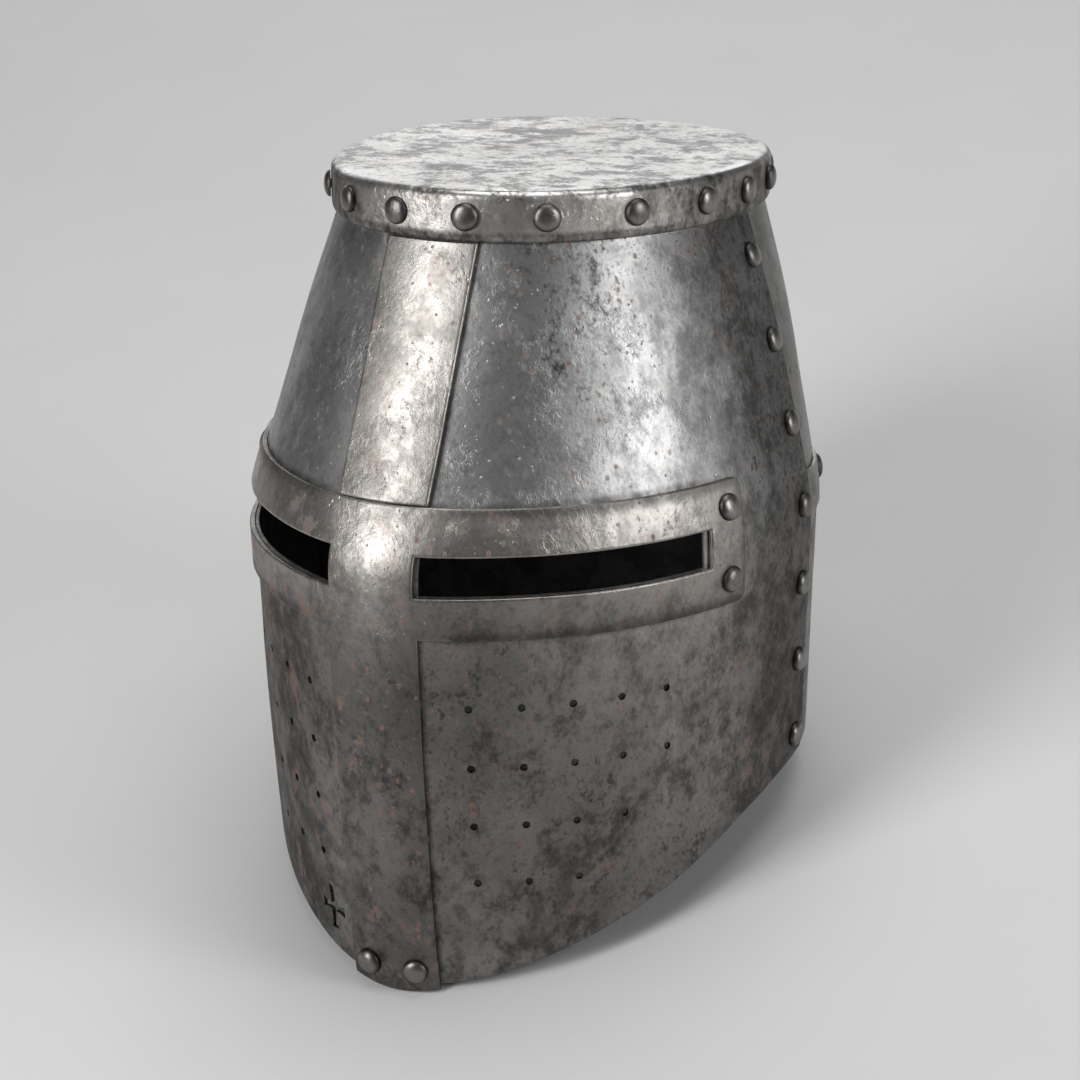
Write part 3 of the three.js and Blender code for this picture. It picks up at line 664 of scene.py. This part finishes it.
def steel(name, bright, dull, stained, flecked, roughness=0.42, pitted=1.0, contrast=0.11, below=None,
          turn=LOWER_HALF_Z, edge_shade=None, old=None, broad_shade=None):
    """Old pitted plate steel. bright and dull are its colours, and below is the pair that they turn to
    lower down, between the heights of turn. stained, flecked and pitted say how much it has of dark stain
    marks, rust and pits. old is where it is more stained; the mask before old is painted shade in corners and
    along edges, and the one after it is painted shade over sides that lie darker."""
    g = Graph(name)

    # Noises that the layers share, from the broadest to the finest
    along = g.stretched((1, 1, 0.8))
    broad = g.noise(g.upright, BROAD, 4, 0.6, 0.5)
    clouds = g.noise(g.stretched((1, 1, 0.8), (0.0, 0.55, 0.0)), CLOUDY, 7, 0.66, 0.3)
    mottle = g.noise(along, MOTTLED, 6, 0.70, 0.2)
    grainy = g.noise(along, GRAINY, 4, 0.66)
    fine = g.noise(g.upright, FINE, 2, 0.5)

    # Brighter and duller steel
    shade = 0.45 * clouds + 0.35 * mottle + 0.2 * grainy
    tone = shade.rise(0.5 - contrast, 0.5 + contrast)
    if below:
        low = g.z.fall(*turn)
        tone = tone + (shade.rise(0.38, 0.62) - tone) * low
        bright = g.mix(low, bright, below[0])
        dull = g.mix(low, dull, below[1])
    colour = g.mix(tone, dull, bright)
    pale = g.noise(g.stretched((1, 1, 0.7), (0.0, -0.6, 0.0)), 30, 7, 0.66, 0.5).rise(0.47, 0.68)
    colour = g.mix(pale * 0.35, colour, bright)

    # Dark stains and run-down blotches, with painted shade in corners, along edges and over darker sides
    aged = old(g) if old else 0.3
    marks = 0.38 * clouds + 0.36 * mottle + 0.26 * grainy + 0.32 * (broad - 0.5) + 0.08 * aged
    stains_and_shade = marks.rise(0.53, 0.69) * (stained + 0.15 * aged)
    drift = g.noise(g.stretched((1, 1, 0.45), (0.0, -0.75, 0.0)), DRIFTING, 8, 0.68, 0.25)
    stains_and_shade = stains_and_shade.at_least(drift.rise(0.50, 0.66) * 0.8 * g.z.fall(*RUN_DOWN_Z) * stained)
    # Painted shade in corners and along edges, then painted shade over sides that lie darker, join the stains
    # here
    if edge_shade:
        stains_and_shade = stains_and_shade.at_least(edge_shade(g) * 0.85)
    if broad_shade:
        stains_and_shade = stains_and_shade.at_least(broad_shade(g) * (1.2 - 0.45 * tone))
    colour = g.mix(stains_and_shade.at_most(0.92), colour, DARK_STAIN_AND_SHADE)

    # Reddish flecks and patches
    spots = g.cells(g.stretched((1, 1, 0.75)), 240).fall(0.14, 0.34)
    spots = spots * g.noise(g.upright, 90, 3, 0.6).rise(0.50, 0.56) * broad.rise(0.36, 0.56)
    patches = (0.6 * g.noise(g.stretched((1, 1, 0.55)), 62, 6, 0.70, 0.4) + 0.4 * mottle).rise(0.535, 0.60)
    far = g.x.fall(*FAR_SIDE_X)
    lower = g.z.fall(*RUSTY_Z)
    rusty = ((spots * 0.9 + patches * (0.15 + 0.35 * far + 0.4 * lower)) * flecked).at_most(1)
    colour = g.mix(rusty, colour, RUST)

    # Short dents, pits and grain
    ragged = g.noise(g.stretched((1, 1, 0.75), (0.10, 0.35, 0.0)), 190, 5, 0.70, 0.7)
    dented = g.noise(g.upright, 34, 4, 0.65).rise(0.50, 0.60) * g.x.rise(*DENTED_X)
    crossing = near(g.x, 0, 0.04) * near(g.z, ARM_TOP, 0.05)
    dented = dented.at_least(crossing * 0.8)
    scored = (ragged.rise(0.49, 0.60) - 0.5 * ragged.fall(0.40, 0.47)) * dented
    pits = g.cells(along, 340).fall(0.05, 0.26) * mottle.rise(0.50, 0.64)
    relief = mottle * 0.11 + grainy * 0.15 + scored * 0.15 - pits * 0.4 + clouds * 0.12 + broad * 0.3
    normal = g.bump(relief, 0.5 * pitted, 0.0011)
    normal = g.bump(fine * 0.6 + grainy * 0.4, 0.13 * pitted, 0.0004, normal)

    matt = 0.5 * clouds + 0.5 * pale
    rough = roughness - 0.07 + 0.1 * (1 - tone) + 0.1 * matt + 0.12 * stains_and_shade + 0.25 * rusty
    rough = rough + 0.12 * (grainy - 0.5)
    return g.finish(
        Base_Color=colour,
        Metallic=1 - 0.45 * rusty,
        Roughness=rough.at_most(0.95),
        Normal=normal,
    )


def inner_scale(name):
    """Dark forge scale on the hollow side."""
    g = Graph(name)
    mottle = g.noise(g.upright, 90, 5, 0.65)
    return g.finish(
        Base_Color=g.mix(mottle.rise(0.4, 0.6), (0.035, 0.033, 0.031, 1), (0.075, 0.07, 0.066, 1)),
        Metallic=0.6,
        Roughness=0.55 + 0.2 * mottle,
        Normal=g.bump(mottle, 0.4, 0.001),
    )


def floor_paint(name):
    """Pale studio floor."""
    g = Graph(name)
    speck = g.noise(g.upright, 9, 4, 0.55)
    return g.finish(
        Base_Color=g.mix(speck, (0.60, 0.60, 0.60, 1), (0.64, 0.64, 0.635, 1)),
        Roughness=0.75,
    )


# Brighter and duller colour of each kind of steel
GREY = ((0.47, 0.468, 0.466, 1), (0.22, 0.219, 0.218, 1))
# BROWN is the lower face's browner steel, also kept darker than the steel above as painted shade.
BROWN = ((0.31, 0.298, 0.285, 1), (0.078, 0.073, 0.068, 1))
WARM = ((0.52, 0.492, 0.462, 1), (0.235, 0.222, 0.209, 1))
AGED = ((0.36, 0.352, 0.343, 1), (0.165, 0.161, 0.156, 1))
# DIM is the lower strap's steel, darker than the strap above as painted shade.
DIM = ((0.20, 0.190, 0.180, 1), (0.05, 0.047, 0.044, 1))
TOP = ((0.60, 0.592, 0.585, 1), (0.13, 0.128, 0.125, 1))
# FLANGE is the flange's steel, made paler than the top's as painted light.
FLANGE = ((0.80, 0.765, 0.73, 1), (0.24, 0.226, 0.213, 1))
IRON = ((0.27, 0.262, 0.255, 1), (0.13, 0.126, 0.122, 1))

front_steel = steel(
    "front_steel", *GREY, stained=0.85, flecked=0.65, below=BROWN,
    edge_shade=strap_and_flange_shade, old=old_stains, broad_shade=side_and_cheek_shade,
)
rear_steel = steel("rear_steel", *AGED, stained=0.75, flecked=0.45, below=BROWN)
strap_steel = steel(
    "strap_steel", *WARM, stained=0.65, flecked=0.95, roughness=0.39, below=DIM, edge_shade=arm_border_shade,
)
cap_steel = steel(
    "cap_steel", *TOP, stained=0.6, flecked=0.6, roughness=0.36, contrast=0.05,
    below=FLANGE, turn=(CROWN_HEIGHT - 0.006, CROWN_HEIGHT - 0.001), broad_shade=flange_painted_shade,
)
rivet_steel = steel(
    "rivet_steel", *IRON, stained=0.4, flecked=0.3, roughness=0.33, pitted=0.5, edge_shade=rivet_foot_shade,
)
inner_steel = inner_scale("inner_steel")
pale_floor = floor_paint("pale_floor")

# Front plate


def mirrored(stops):
    return sorted({-stop for stop in stops} | set(stops))


def drop_lower_edge(height, edge):
    """Draws the heights under the arms down to the lower edge."""
    share = np.clip(height / ARM_BOTTOM, None, 1)
    return np.where(height < ARM_BOTTOM, edge + share * (ARM_BOTTOM - edge), height)


def breath_cutters():
    """Upright cylinders where the breaths go, in rows on both sides."""
    cutters = []
    for side in (1, -1):
        for row, count in enumerate(BREATHS_IN_ROWS):
            height = BREATH_TOP - row * BREATH_ROW_PITCH
            for i in range(count):
                arc = BREATH_START + i * BREATH_PITCH
                place = (side * angle_to_flat(angle_at(arc, height)), height, 0)
                bpy.ops.mesh.primitive_cylinder_add(
                    vertices=BREATH_CORNERS, radius=BREATH_RADIUS, depth=CUTTER_DEPTH, location=place)
                cutters.append(bpy.context.object)
    return cutters


def cross_cutters():
    """Two crossed bars that widen towards their ends."""
    place = Vector((-angle_to_flat(angle_at(CROSS_OUT, CROSS_HEIGHT)), CROSS_HEIGHT, CUTTER_DEPTH / 2))
    cutters = []
    for length, turn in ((CROSS_TALL, 0), (CROSS_WIDE, math.pi / 2)):
        bpy.ops.mesh.primitive_grid_add(x_subdivisions=2, y_subdivisions=4, size=1)
        bar = bpy.context.object
        points = vertex_array(bar.data)
        along = points[:, 1] * length
        flare = smoothstep(np.abs(along), CROSS_FLARE_START * length, 0.5 * length)
        half = CROSS_BAR / 2 + CROSS_FLARE * flare
        write_vertices(bar.data, np.stack([points[:, 0] * 2 * half, along, np.zeros(len(points))], axis=1))
        extrude_down(bar, CUTTER_DEPTH)
        bar.data.transform(Matrix.Translation(place) @ Matrix.Rotation(turn, 4, "Z"))
        cutters.append(bar)
    return cutters


def roll(sheet, angle_of, offset_of):
    """Bends the flat sheet round the shell. Its up direction is the height."""
    points = vertex_array(sheet.data)
    height = points[:, 1]
    angle = angle_of(points[:, 0], height)
    write_vertices(sheet.data, shell_points(angle, height, offset_of(points[:, 2], height, angle)))


def plate_angle(flat, height):
    return flat_to_angle(flat)


def build_front_plate():
    start = SIGHT_START + SIGHT_LEDGE
    end = arc_to(SIGHT_END, SIGHT_LEVEL) - SIGHT_LEDGE
    across = spread(mirrored([0, start, end, SEAM_FLAT]), PLATE_RIM)
    up = spread([0, ARM_BOTTOM, SIGHT_BOTTOM, SIGHT_TOP, ARM_TOP, RIM_HEIGHT, PLATE_TOP], PLATE_RIM)

    def keep(x, y):
        return not (start < abs(x) < end and SIGHT_BOTTOM < y < SIGHT_TOP)

    sheet = flat_sheet("front_plate_dressed", across, up, keep)
    points = vertex_array(sheet.data)
    points[:, 1] = drop_lower_edge(points[:, 1], lower_edge(flat_to_angle(points[:, 0])))
    write_vertices(sheet.data, points)
    thicken(sheet, PLATE, PLATE_BEVEL)
    cut(sheet, breath_cutters())
    for bar in cross_cutters():
        cut(sheet, [bar])
    roll(sheet, plate_angle, lambda depth, height, angle: depth)
    finish_piece(sheet, front_steel, "front_steel", "front_plate", inside=inner_steel)


# Straps

WIDEST_SHARE = 0.95


def strap_angle(flat, height):
    """Keeps the strap's width at every height, and runs the arms round at an even angle."""
    by_width = np.arcsin(np.clip(flat / half_width(height), -WIDEST_SHARE, WIDEST_SHARE))
    blend = smoothstep(np.abs(flat), STRAP_HALF, ARM_START)
    return by_width * (1 - blend) + flat_to_angle(flat) * blend


def build_brow_strap():
    """Its top is thinned to a tongue that goes under the crown's flange."""
    shoulder = RIM_HEIGHT - GAP - TONGUE
    across = spread([-STRAP_HALF, 0, STRAP_HALF], BROW_RIM)
    up = spread([ARM_TOP + GAP, shoulder, shoulder + TONGUE, RIM_HEIGHT + TONGUE_RISE], BROW_RIM)
    sheet = flat_sheet("brow_strap_dressed", across, up)
    thicken(sheet, STRAP, STRAP_BEVEL, STRAP_BEVEL_SEGMENTS)

    def offset(depth, height, angle):
        thin = np.where(height > shoulder + TONGUE / 2, TONGUE / STRAP, 1)
        return GAP + (depth + STRAP) * thin

    roll(sheet, strap_angle, offset)
    finish_piece(sheet, strap_steel, "strap_steel", "brow_strap")


def round_arm_ends(flat, height, arm_end):
    """Draws the corners of the arms' ends in to a quarter circle."""
    to_edge = np.minimum(height - ARM_BOTTOM, ARM_TOP - height)
    corner = np.clip(ARM_CORNER - to_edge, 0, ARM_CORNER)
    cut_back = ARM_CORNER - np.sqrt(np.maximum(ARM_CORNER**2 - corner**2, 0))
    reach = smoothstep(np.abs(flat), arm_end - 3 * ARM_CORNER, arm_end)
    return flat - np.sign(flat) * cut_back * reach


def build_face_cross():
    arm_end = angle_to_flat(ARM_END)
    sight_end = arc_to(SIGHT_END, SIGHT_LEVEL)
    across = spread(mirrored([0, SIGHT_START, STRAP_HALF, sight_end, arm_end]), CROSS_RIM)
    up = spread([0, ARM_BOTTOM, SIGHT_BOTTOM, SIGHT_TOP, ARM_TOP], CROSS_RIM)

    def keep(x, y):
        in_sight = SIGHT_START < abs(x) < sight_end and SIGHT_BOTTOM < y < SIGHT_TOP
        return not in_sight and (abs(x) < STRAP_HALF or y > ARM_BOTTOM)

    sheet = flat_sheet("face_cross_dressed", across, up, keep)
    points = vertex_array(sheet.data)
    points[:, 0] = round_arm_ends(points[:, 0], points[:, 1], arm_end)
    share = points[:, 0] / STRAP_HALF
    points[:, 1] = drop_lower_edge(points[:, 1], -STRAP_END_DROP + STRAP_END_RISE * share * share)
    write_vertices(sheet.data, points)
    thicken(sheet, STRAP, STRAP_BEVEL, STRAP_BEVEL_SEGMENTS)
    roll(sheet, strap_angle, lambda depth, height, angle: GAP + STRAP + depth)
    finish_piece(sheet, strap_steel, "strap_steel", "face_cross")


# Rear plates


def away_from_seam(angle):
    """0 at the side seams and 1 a little behind them."""
    behind = math.pi - np.abs(math.pi - np.abs(angle))
    return smoothstep(behind, SEAM_ANGLE, SEAM_ANGLE + SEAM_EASE)


def upper_offset(depth, height, angle):
    """The upper rear plate goes in under the lower one at its foot."""
    inset = REAR_OFFSET + LAP_PROUD * away_from_seam(angle)
    return REAR_OFFSET + inset * (1 - smoothstep(height, LAP_FOOT, LAP_FOOT + LAP_RAMP)) + depth


def lower_offset(depth, height, angle):
    """The lower rear plate comes out over the upper one at its top."""
    lap_share = smoothstep(height, LAP_BOTTOM - LAP_RAMP, LAP_BOTTOM)
    return REAR_OFFSET + LAP_PROUD * lap_share * away_from_seam(angle) + depth


def build_rear_plate(node, levels, offset):
    lap = SEAM_FLAT - SEAM_LAP
    across = spread([lap, SEAM_FLAT, HALF_ROUND, 2 * HALF_ROUND - SEAM_FLAT, 2 * HALF_ROUND - lap], PLATE_RIM)
    sheet = flat_sheet(node + "_dressed", across, spread(levels, REAR_RIM))
    thicken(sheet, PLATE, PLATE_BEVEL)
    roll(sheet, plate_angle, offset)
    finish_piece(sheet, rear_steel, "rear_steel", node, inside=inner_steel)


def build_rear_plates():
    build_rear_plate("rear_upper_plate", [LAP_BOTTOM, LAP_FOOT, LAP_FOOT + LAP_RAMP, PLATE_TOP], upper_offset)
    build_rear_plate("rear_lower_plate", [SEAM_CORNER_HEIGHT, LAP_BOTTOM - LAP_RAMP, LAP_BOTTOM, LAP_TOP],
                     lower_offset)


# Crown cap

# The cap is spun round this radius and then fitted to the shell. It is hammered less than the plates are.
SPIN_RADIUS = 0.1
CAP_STEPS = 300
CAP_HAMMERED = 0.6
DISC_RINGS, FILLET_RINGS, SIDE_RINGS, LIP_RINGS = 17, 6, 5, 5
FILLET = 0.004
LIP_HEIGHT = 0.0045
LIP_DEPTH = 0.0019
CAP_INNER = SPIN_RADIUS + GAP
CAP_FACE = SPIN_RADIUS + GAP + CAP
TOP_RADIUS = CAP_FACE - FILLET


def quarter(rings):
    """Angles of a quarter turn, less the first."""
    return np.linspace(0, math.pi / 2, rings + 1)[1:]


def cap_profile():
    """Flat top, fillet, flange with a rolled lip, and the hollow under them."""
    fillet_foot, lip_top = FLAT_TOP - FILLET, RIM_HEIGHT + LIP_HEIGHT
    disc = [(share * TOP_RADIUS, FLAT_TOP) for share in np.linspace(0, 1, DISC_RINGS + 1)]
    fillet = [(TOP_RADIUS + FILLET * math.sin(turn), fillet_foot + FILLET * math.cos(turn))
              for turn in quarter(FILLET_RINGS)]
    side = [(CAP_FACE, height) for height in np.linspace(fillet_foot, lip_top, SIDE_RINGS + 1)[1:]]
    lip = [(CAP_FACE - LIP_DEPTH * (1 - math.cos(turn)), RIM_HEIGHT + LIP_HEIGHT * (1 - math.sin(turn)))
           for turn in quarter(LIP_RINGS)]
    under = [(CAP_INNER, RIM_HEIGHT), (CAP_INNER, CROWN_HEIGHT - CAP), (0, CROWN_HEIGHT - CAP)]
    return disc + fillet + side + lip + under


def build_crown_cap():
    cap = lathe("crown_cap_dressed", cap_profile(), CAP_STEPS)
    points = vertex_array(cap.data)
    radius = np.hypot(points[:, 0], points[:, 1])
    around = np.arctan2(points[:, 0], -points[:, 1])
    angles, arcs = arc_table(RIM_HEIGHT)
    angle = np.sign(around) * np.interp(np.abs(around) / math.pi * arcs[-1], arcs, angles)
    level = np.full(angle.shape, RIM_HEIGHT)
    rim = on_shell(angle, level)
    normal = outward(angle, level)
    normal[:, 2] = 0
    normal /= np.linalg.norm(normal, axis=1, keepdims=True)

    # The flange steps in over the rear plates and has a pocket for the brow strap's tongue
    step = np.clip((np.abs(angle) - SEAM_ANGLE) / STEP_ANGLE, 0, 1) * REAR_OFFSET
    on_inner = np.abs(radius - CAP_INNER) < 2 * WELD
    pocket = (np.abs(rim[:, 0]) < STRAP_HALF + GAP) & (rim[:, 1] < 0) & on_inner
    hammer = hammered(rim) * CAP_HAMMERED
    offset = radius - SPIN_RADIUS + step + np.where(pocket, TONGUE + GAP, 0) - hammer
    on_side = rim + normal * offset[:, None]
    edge = (TOP_RADIUS - SPIN_RADIUS + step - hammer)[:, None]
    on_top = (rim + normal * edge) * (radius / TOP_RADIUS)[:, None]
    placed = np.where((radius > TOP_RADIUS - WELD)[:, None], on_side, on_top)
    placed[:, 2] = points[:, 2]
    write_vertices(cap.data, placed)
    finish_piece(cap, cap_steel, "cap_steel", "crown_cap", inside=inner_steel)


# Rivets

RIVET_STEPS = 28
HEAD_RINGS = 9
DOME_FULLNESS = 0.9
DOME_EDGE = 0.08
DOME_RISE = 0.92
TAIL_TAPER = 0.7
WIDTH_SPREAD = (0.94, 1.0)
HEIGHT_SPREAD = (0.9, 1.0)


def rivet_model():
    """Head on the sheet at height 0, with a shank of unit length and a hammered end under it. Its attribute
    rim is 1 at the head's border."""
    dome = []
    for turn in np.linspace(0, math.pi / 2, HEAD_RINGS + 1):
        level = RIVET_HEIGHT * (DOME_EDGE + DOME_RISE * math.cos(turn))
        dome.append((RIVET_RADIUS * math.sin(turn) ** DOME_FULLNESS, level))
    edge = [(RIVET_RADIUS, 0.0)]
    shank = [(SHANK_RADIUS, 0.0), (SHANK_RADIUS, -1.0), (TAIL_RADIUS, -1.0)]
    tail = [(TAIL_RADIUS * TAIL_TAPER, -1.0 - TAIL_HEIGHT), (0, -1.0 - TAIL_HEIGHT)]
    model = lathe("rivet_model", dome + edge + shank + tail, RIVET_STEPS)
    rim = model.data.attributes.new("rim", "FLOAT", "POINT")
    points = vertex_array(model.data)
    rim.data.foreach_set("value", np.hypot(points[:, 0], points[:, 1]) / RIVET_RADIUS)
    return model


def place_rivet(model, node, angle, height, over, under):
    """A rivet through the sheets from over to under, which are distances out from the shell. Each has a head
    of its own width and height."""
    obj = model.copy()
    obj.data = model.data.copy()
    obj.name = node + "_dressed"
    bpy.context.collection.objects.link(obj)
    seat = over + GAP
    length = seat - (under - TAIL_CLEARANCE)
    points = vertex_array(obj.data)
    tail = points[:, 2] < -0.5
    points[tail, 2] += 1.0 - length
    points[:, 2] += seat
    points[~tail, :2] *= chance.uniform(*WIDTH_SPREAD)
    points[~tail, 2] = seat + (points[~tail, 2] - seat) * chance.uniform(*HEIGHT_SPREAD)
    spin = chance.uniform(0, math.pi)
    turned = points.copy()
    turned[:, 0] = points[:, 0] * math.cos(spin) - points[:, 1] * math.sin(spin)
    turned[:, 1] = points[:, 0] * math.sin(spin) + points[:, 1] * math.cos(spin)
    here, level = np.array(angle), np.array(height)
    normal = outward(here, level)
    side = np.cross([0, 0, 1], normal)
    side /= np.linalg.norm(side)
    top = np.cross(normal, side)
    origin = shell_points(here, level, np.array(0.0))
    write_vertices(obj.data, origin + turned @ np.stack([side, top, normal]))
    finish_piece(obj, rivet_steel, "rivet_steel", node)


# Each place of a rivet: node, angle, height, and how far out the sheets' outer and inner faces lie


def crown_rivets(name, side):
    """Those through the front plate, and then those at the back."""
    height = (CROWN_HEIGHT + RIM_HEIGHT) / 2
    seam = arc_to(SEAM_ANGLE, height) - RIVET_INSET
    half = arc_to(math.pi, height)
    number = 0
    for share in CROWN_RIVET_SHARES:
        number += 1
        under = REAR_OFFSET - PLATE if share == 1 else -PLATE
        yield f"crown_rivet_{name}_{number}", side * angle_at(share * seam, height), height, GAP + CAP, under
    for i in range(1, BACK_CROWN_RIVETS // 2 + 1):
        number += 1
        arc = seam + 2 * (half - seam) * i / (BACK_CROWN_RIVETS + 1)
        over, under = GAP + CAP + REAR_OFFSET, REAR_OFFSET - PLATE
        yield f"crown_rivet_{name}_{number}", side * angle_at(arc, height), height, over, under


def seam_rivets(name, side):
    """Where the rear plates lap, they go through one sheet more."""
    for i in range(SEAM_RIVETS):
        height = SEAM_RIVET_START + SEAM_RIVET_PITCH * i
        rear_plates = 2 if LAP_BOTTOM - TAIL_RADIUS < height < LAP_TOP + TAIL_RADIUS else 1
        angle = angle_at(arc_to(SEAM_ANGLE, height) - RIVET_INSET, height)
        yield f"seam_rivet_{name}_{i + 1}", side * angle, height, 0, rear_plates * REAR_OFFSET - PLATE


def cross_rivets(name, side):
    """Two at the arm's end and one at the lower strap's."""
    for where, height in (("upper", ARM_TOP - ARM_RIVET_INSET), ("lower", ARM_BOTTOM + ARM_RIVET_INSET)):
        angle = angle_at(arc_to(ARM_END, height) - ARM_RIVET_FROM_END, height)
        yield f"arm_rivet_{name}_{where}", side * angle, height, GAP + STRAP, -PLATE
    angle = math.asin(END_RIVET_OUT / float(half_width(END_RIVET_HEIGHT)))
    yield f"end_rivet_{name}", side * angle, END_RIVET_HEIGHT, GAP + STRAP, -PLATE


def waist_rivets():
    height = (LAP_TOP + LAP_BOTTOM) / 2
    seam = arc_to(SEAM_ANGLE, height) - RIVET_INSET
    half = arc_to(math.pi, height)
    over = REAR_OFFSET + LAP_PROUD
    for i in range(1, WAIST_RIVETS + 1):
        arc = seam + 2 * (half - seam) * i / (WAIST_RIVETS + 1)
        angle = angle_at(arc, height) if arc < half else -angle_at(2 * half - arc, height)
        yield f"waist_rivet_{i}", angle, height, over, over - 2 * PLATE - GAP


def build_rivets():
    model = rivet_model()
    places = []
    for name, side in (("left", 1), ("right", -1)):
        for kind in (crown_rivets, seam_rivets, cross_rivets):
            places.extend(kind(name, side))
    for place in places + list(waist_rivets()):
        place_rivet(model, *place)
    bpy.data.objects.remove(model)


build_front_plate()
build_face_cross()
build_brow_strap()
build_rear_plates()
build_crown_cap()
build_rivets()

# Floor, camera and light

FLOOR_SIZE = 8

bpy.ops.mesh.primitive_plane_add(size=FLOOR_SIZE, location=(0, 0, 0))
floor = bpy.context.object
floor.name = "studio_floor"
floor.data.materials.append(pale_floor)

# The camera beside the upright helm, as fitted to the photo. It leans back with the helm.
CAMERA_PLACE = Vector((0.50716, -1.04242, 0.5255))
CAMERA_AXES = Matrix((
    (0.89461, -0.13975, 0.42444),
    (0.44682, 0.26842, -0.85341),
    (0.00534, 0.95311, 0.30257),
))
FOCAL_PIXELS = 2576.9
PHOTO_PIXELS = 1080
SENSOR = 36

bpy.ops.object.camera_add()
camera = bpy.context.object
axes = (Matrix.Rotation(-LEAN, 3, "X") @ CAMERA_AXES).to_quaternion()
camera.matrix_world = Matrix.LocRotScale(lean_matrix @ CAMERA_PLACE, axes, None)
camera.data.sensor_width = SENSOR
camera.data.lens = FOCAL_PIXELS / PHOTO_PIXELS * SENSOR
camera.data.clip_end = 20
camera.data.dof.use_dof = False
bpy.context.scene.camera = camera

HELM_MIDDLE = Vector((0, 0, 0.16))


def softbox(name, azimuth, elevation, distance, size, power):
    """Area light towards the helm, from an azimuth that counts from -Y towards +X."""
    turn, rise = math.radians(azimuth), math.radians(elevation)
    towards = Vector((math.sin(turn) * math.cos(rise), -math.cos(turn) * math.cos(rise), math.sin(rise)))
    bpy.ops.object.light_add(type="AREA", location=HELM_MIDDLE + towards * distance)
    light = bpy.context.object
    light.name = name
    light.rotation_euler = towards.to_track_quat("Z", "Y").to_euler()
    light.data.shape = "RECTANGLE"
    light.data.size, light.data.size_y = size
    light.data.energy = power


softbox("key_box", -28, 33, 1.8, (0.6, 1.7), 24)
softbox("side_box", 92, 20, 1.9, (0.6, 1.2), 15)
softbox("back_box", -150, 10, 2.6, (2.5, 0.8), 16)
softbox("top_box", 170, 70, 2.2, (1.8, 1.2), 26)

world = bpy.data.worlds.new("studio")
world.use_nodes = True
background = world.node_tree.nodes["Background"]
background.inputs["Color"].default_value = (0.075, 0.075, 0.075, 1)
background.inputs["Strength"].default_value = 1.0
bpy.context.scene.world = world
bpy.context.scene.view_settings.view_transform = "Standard"
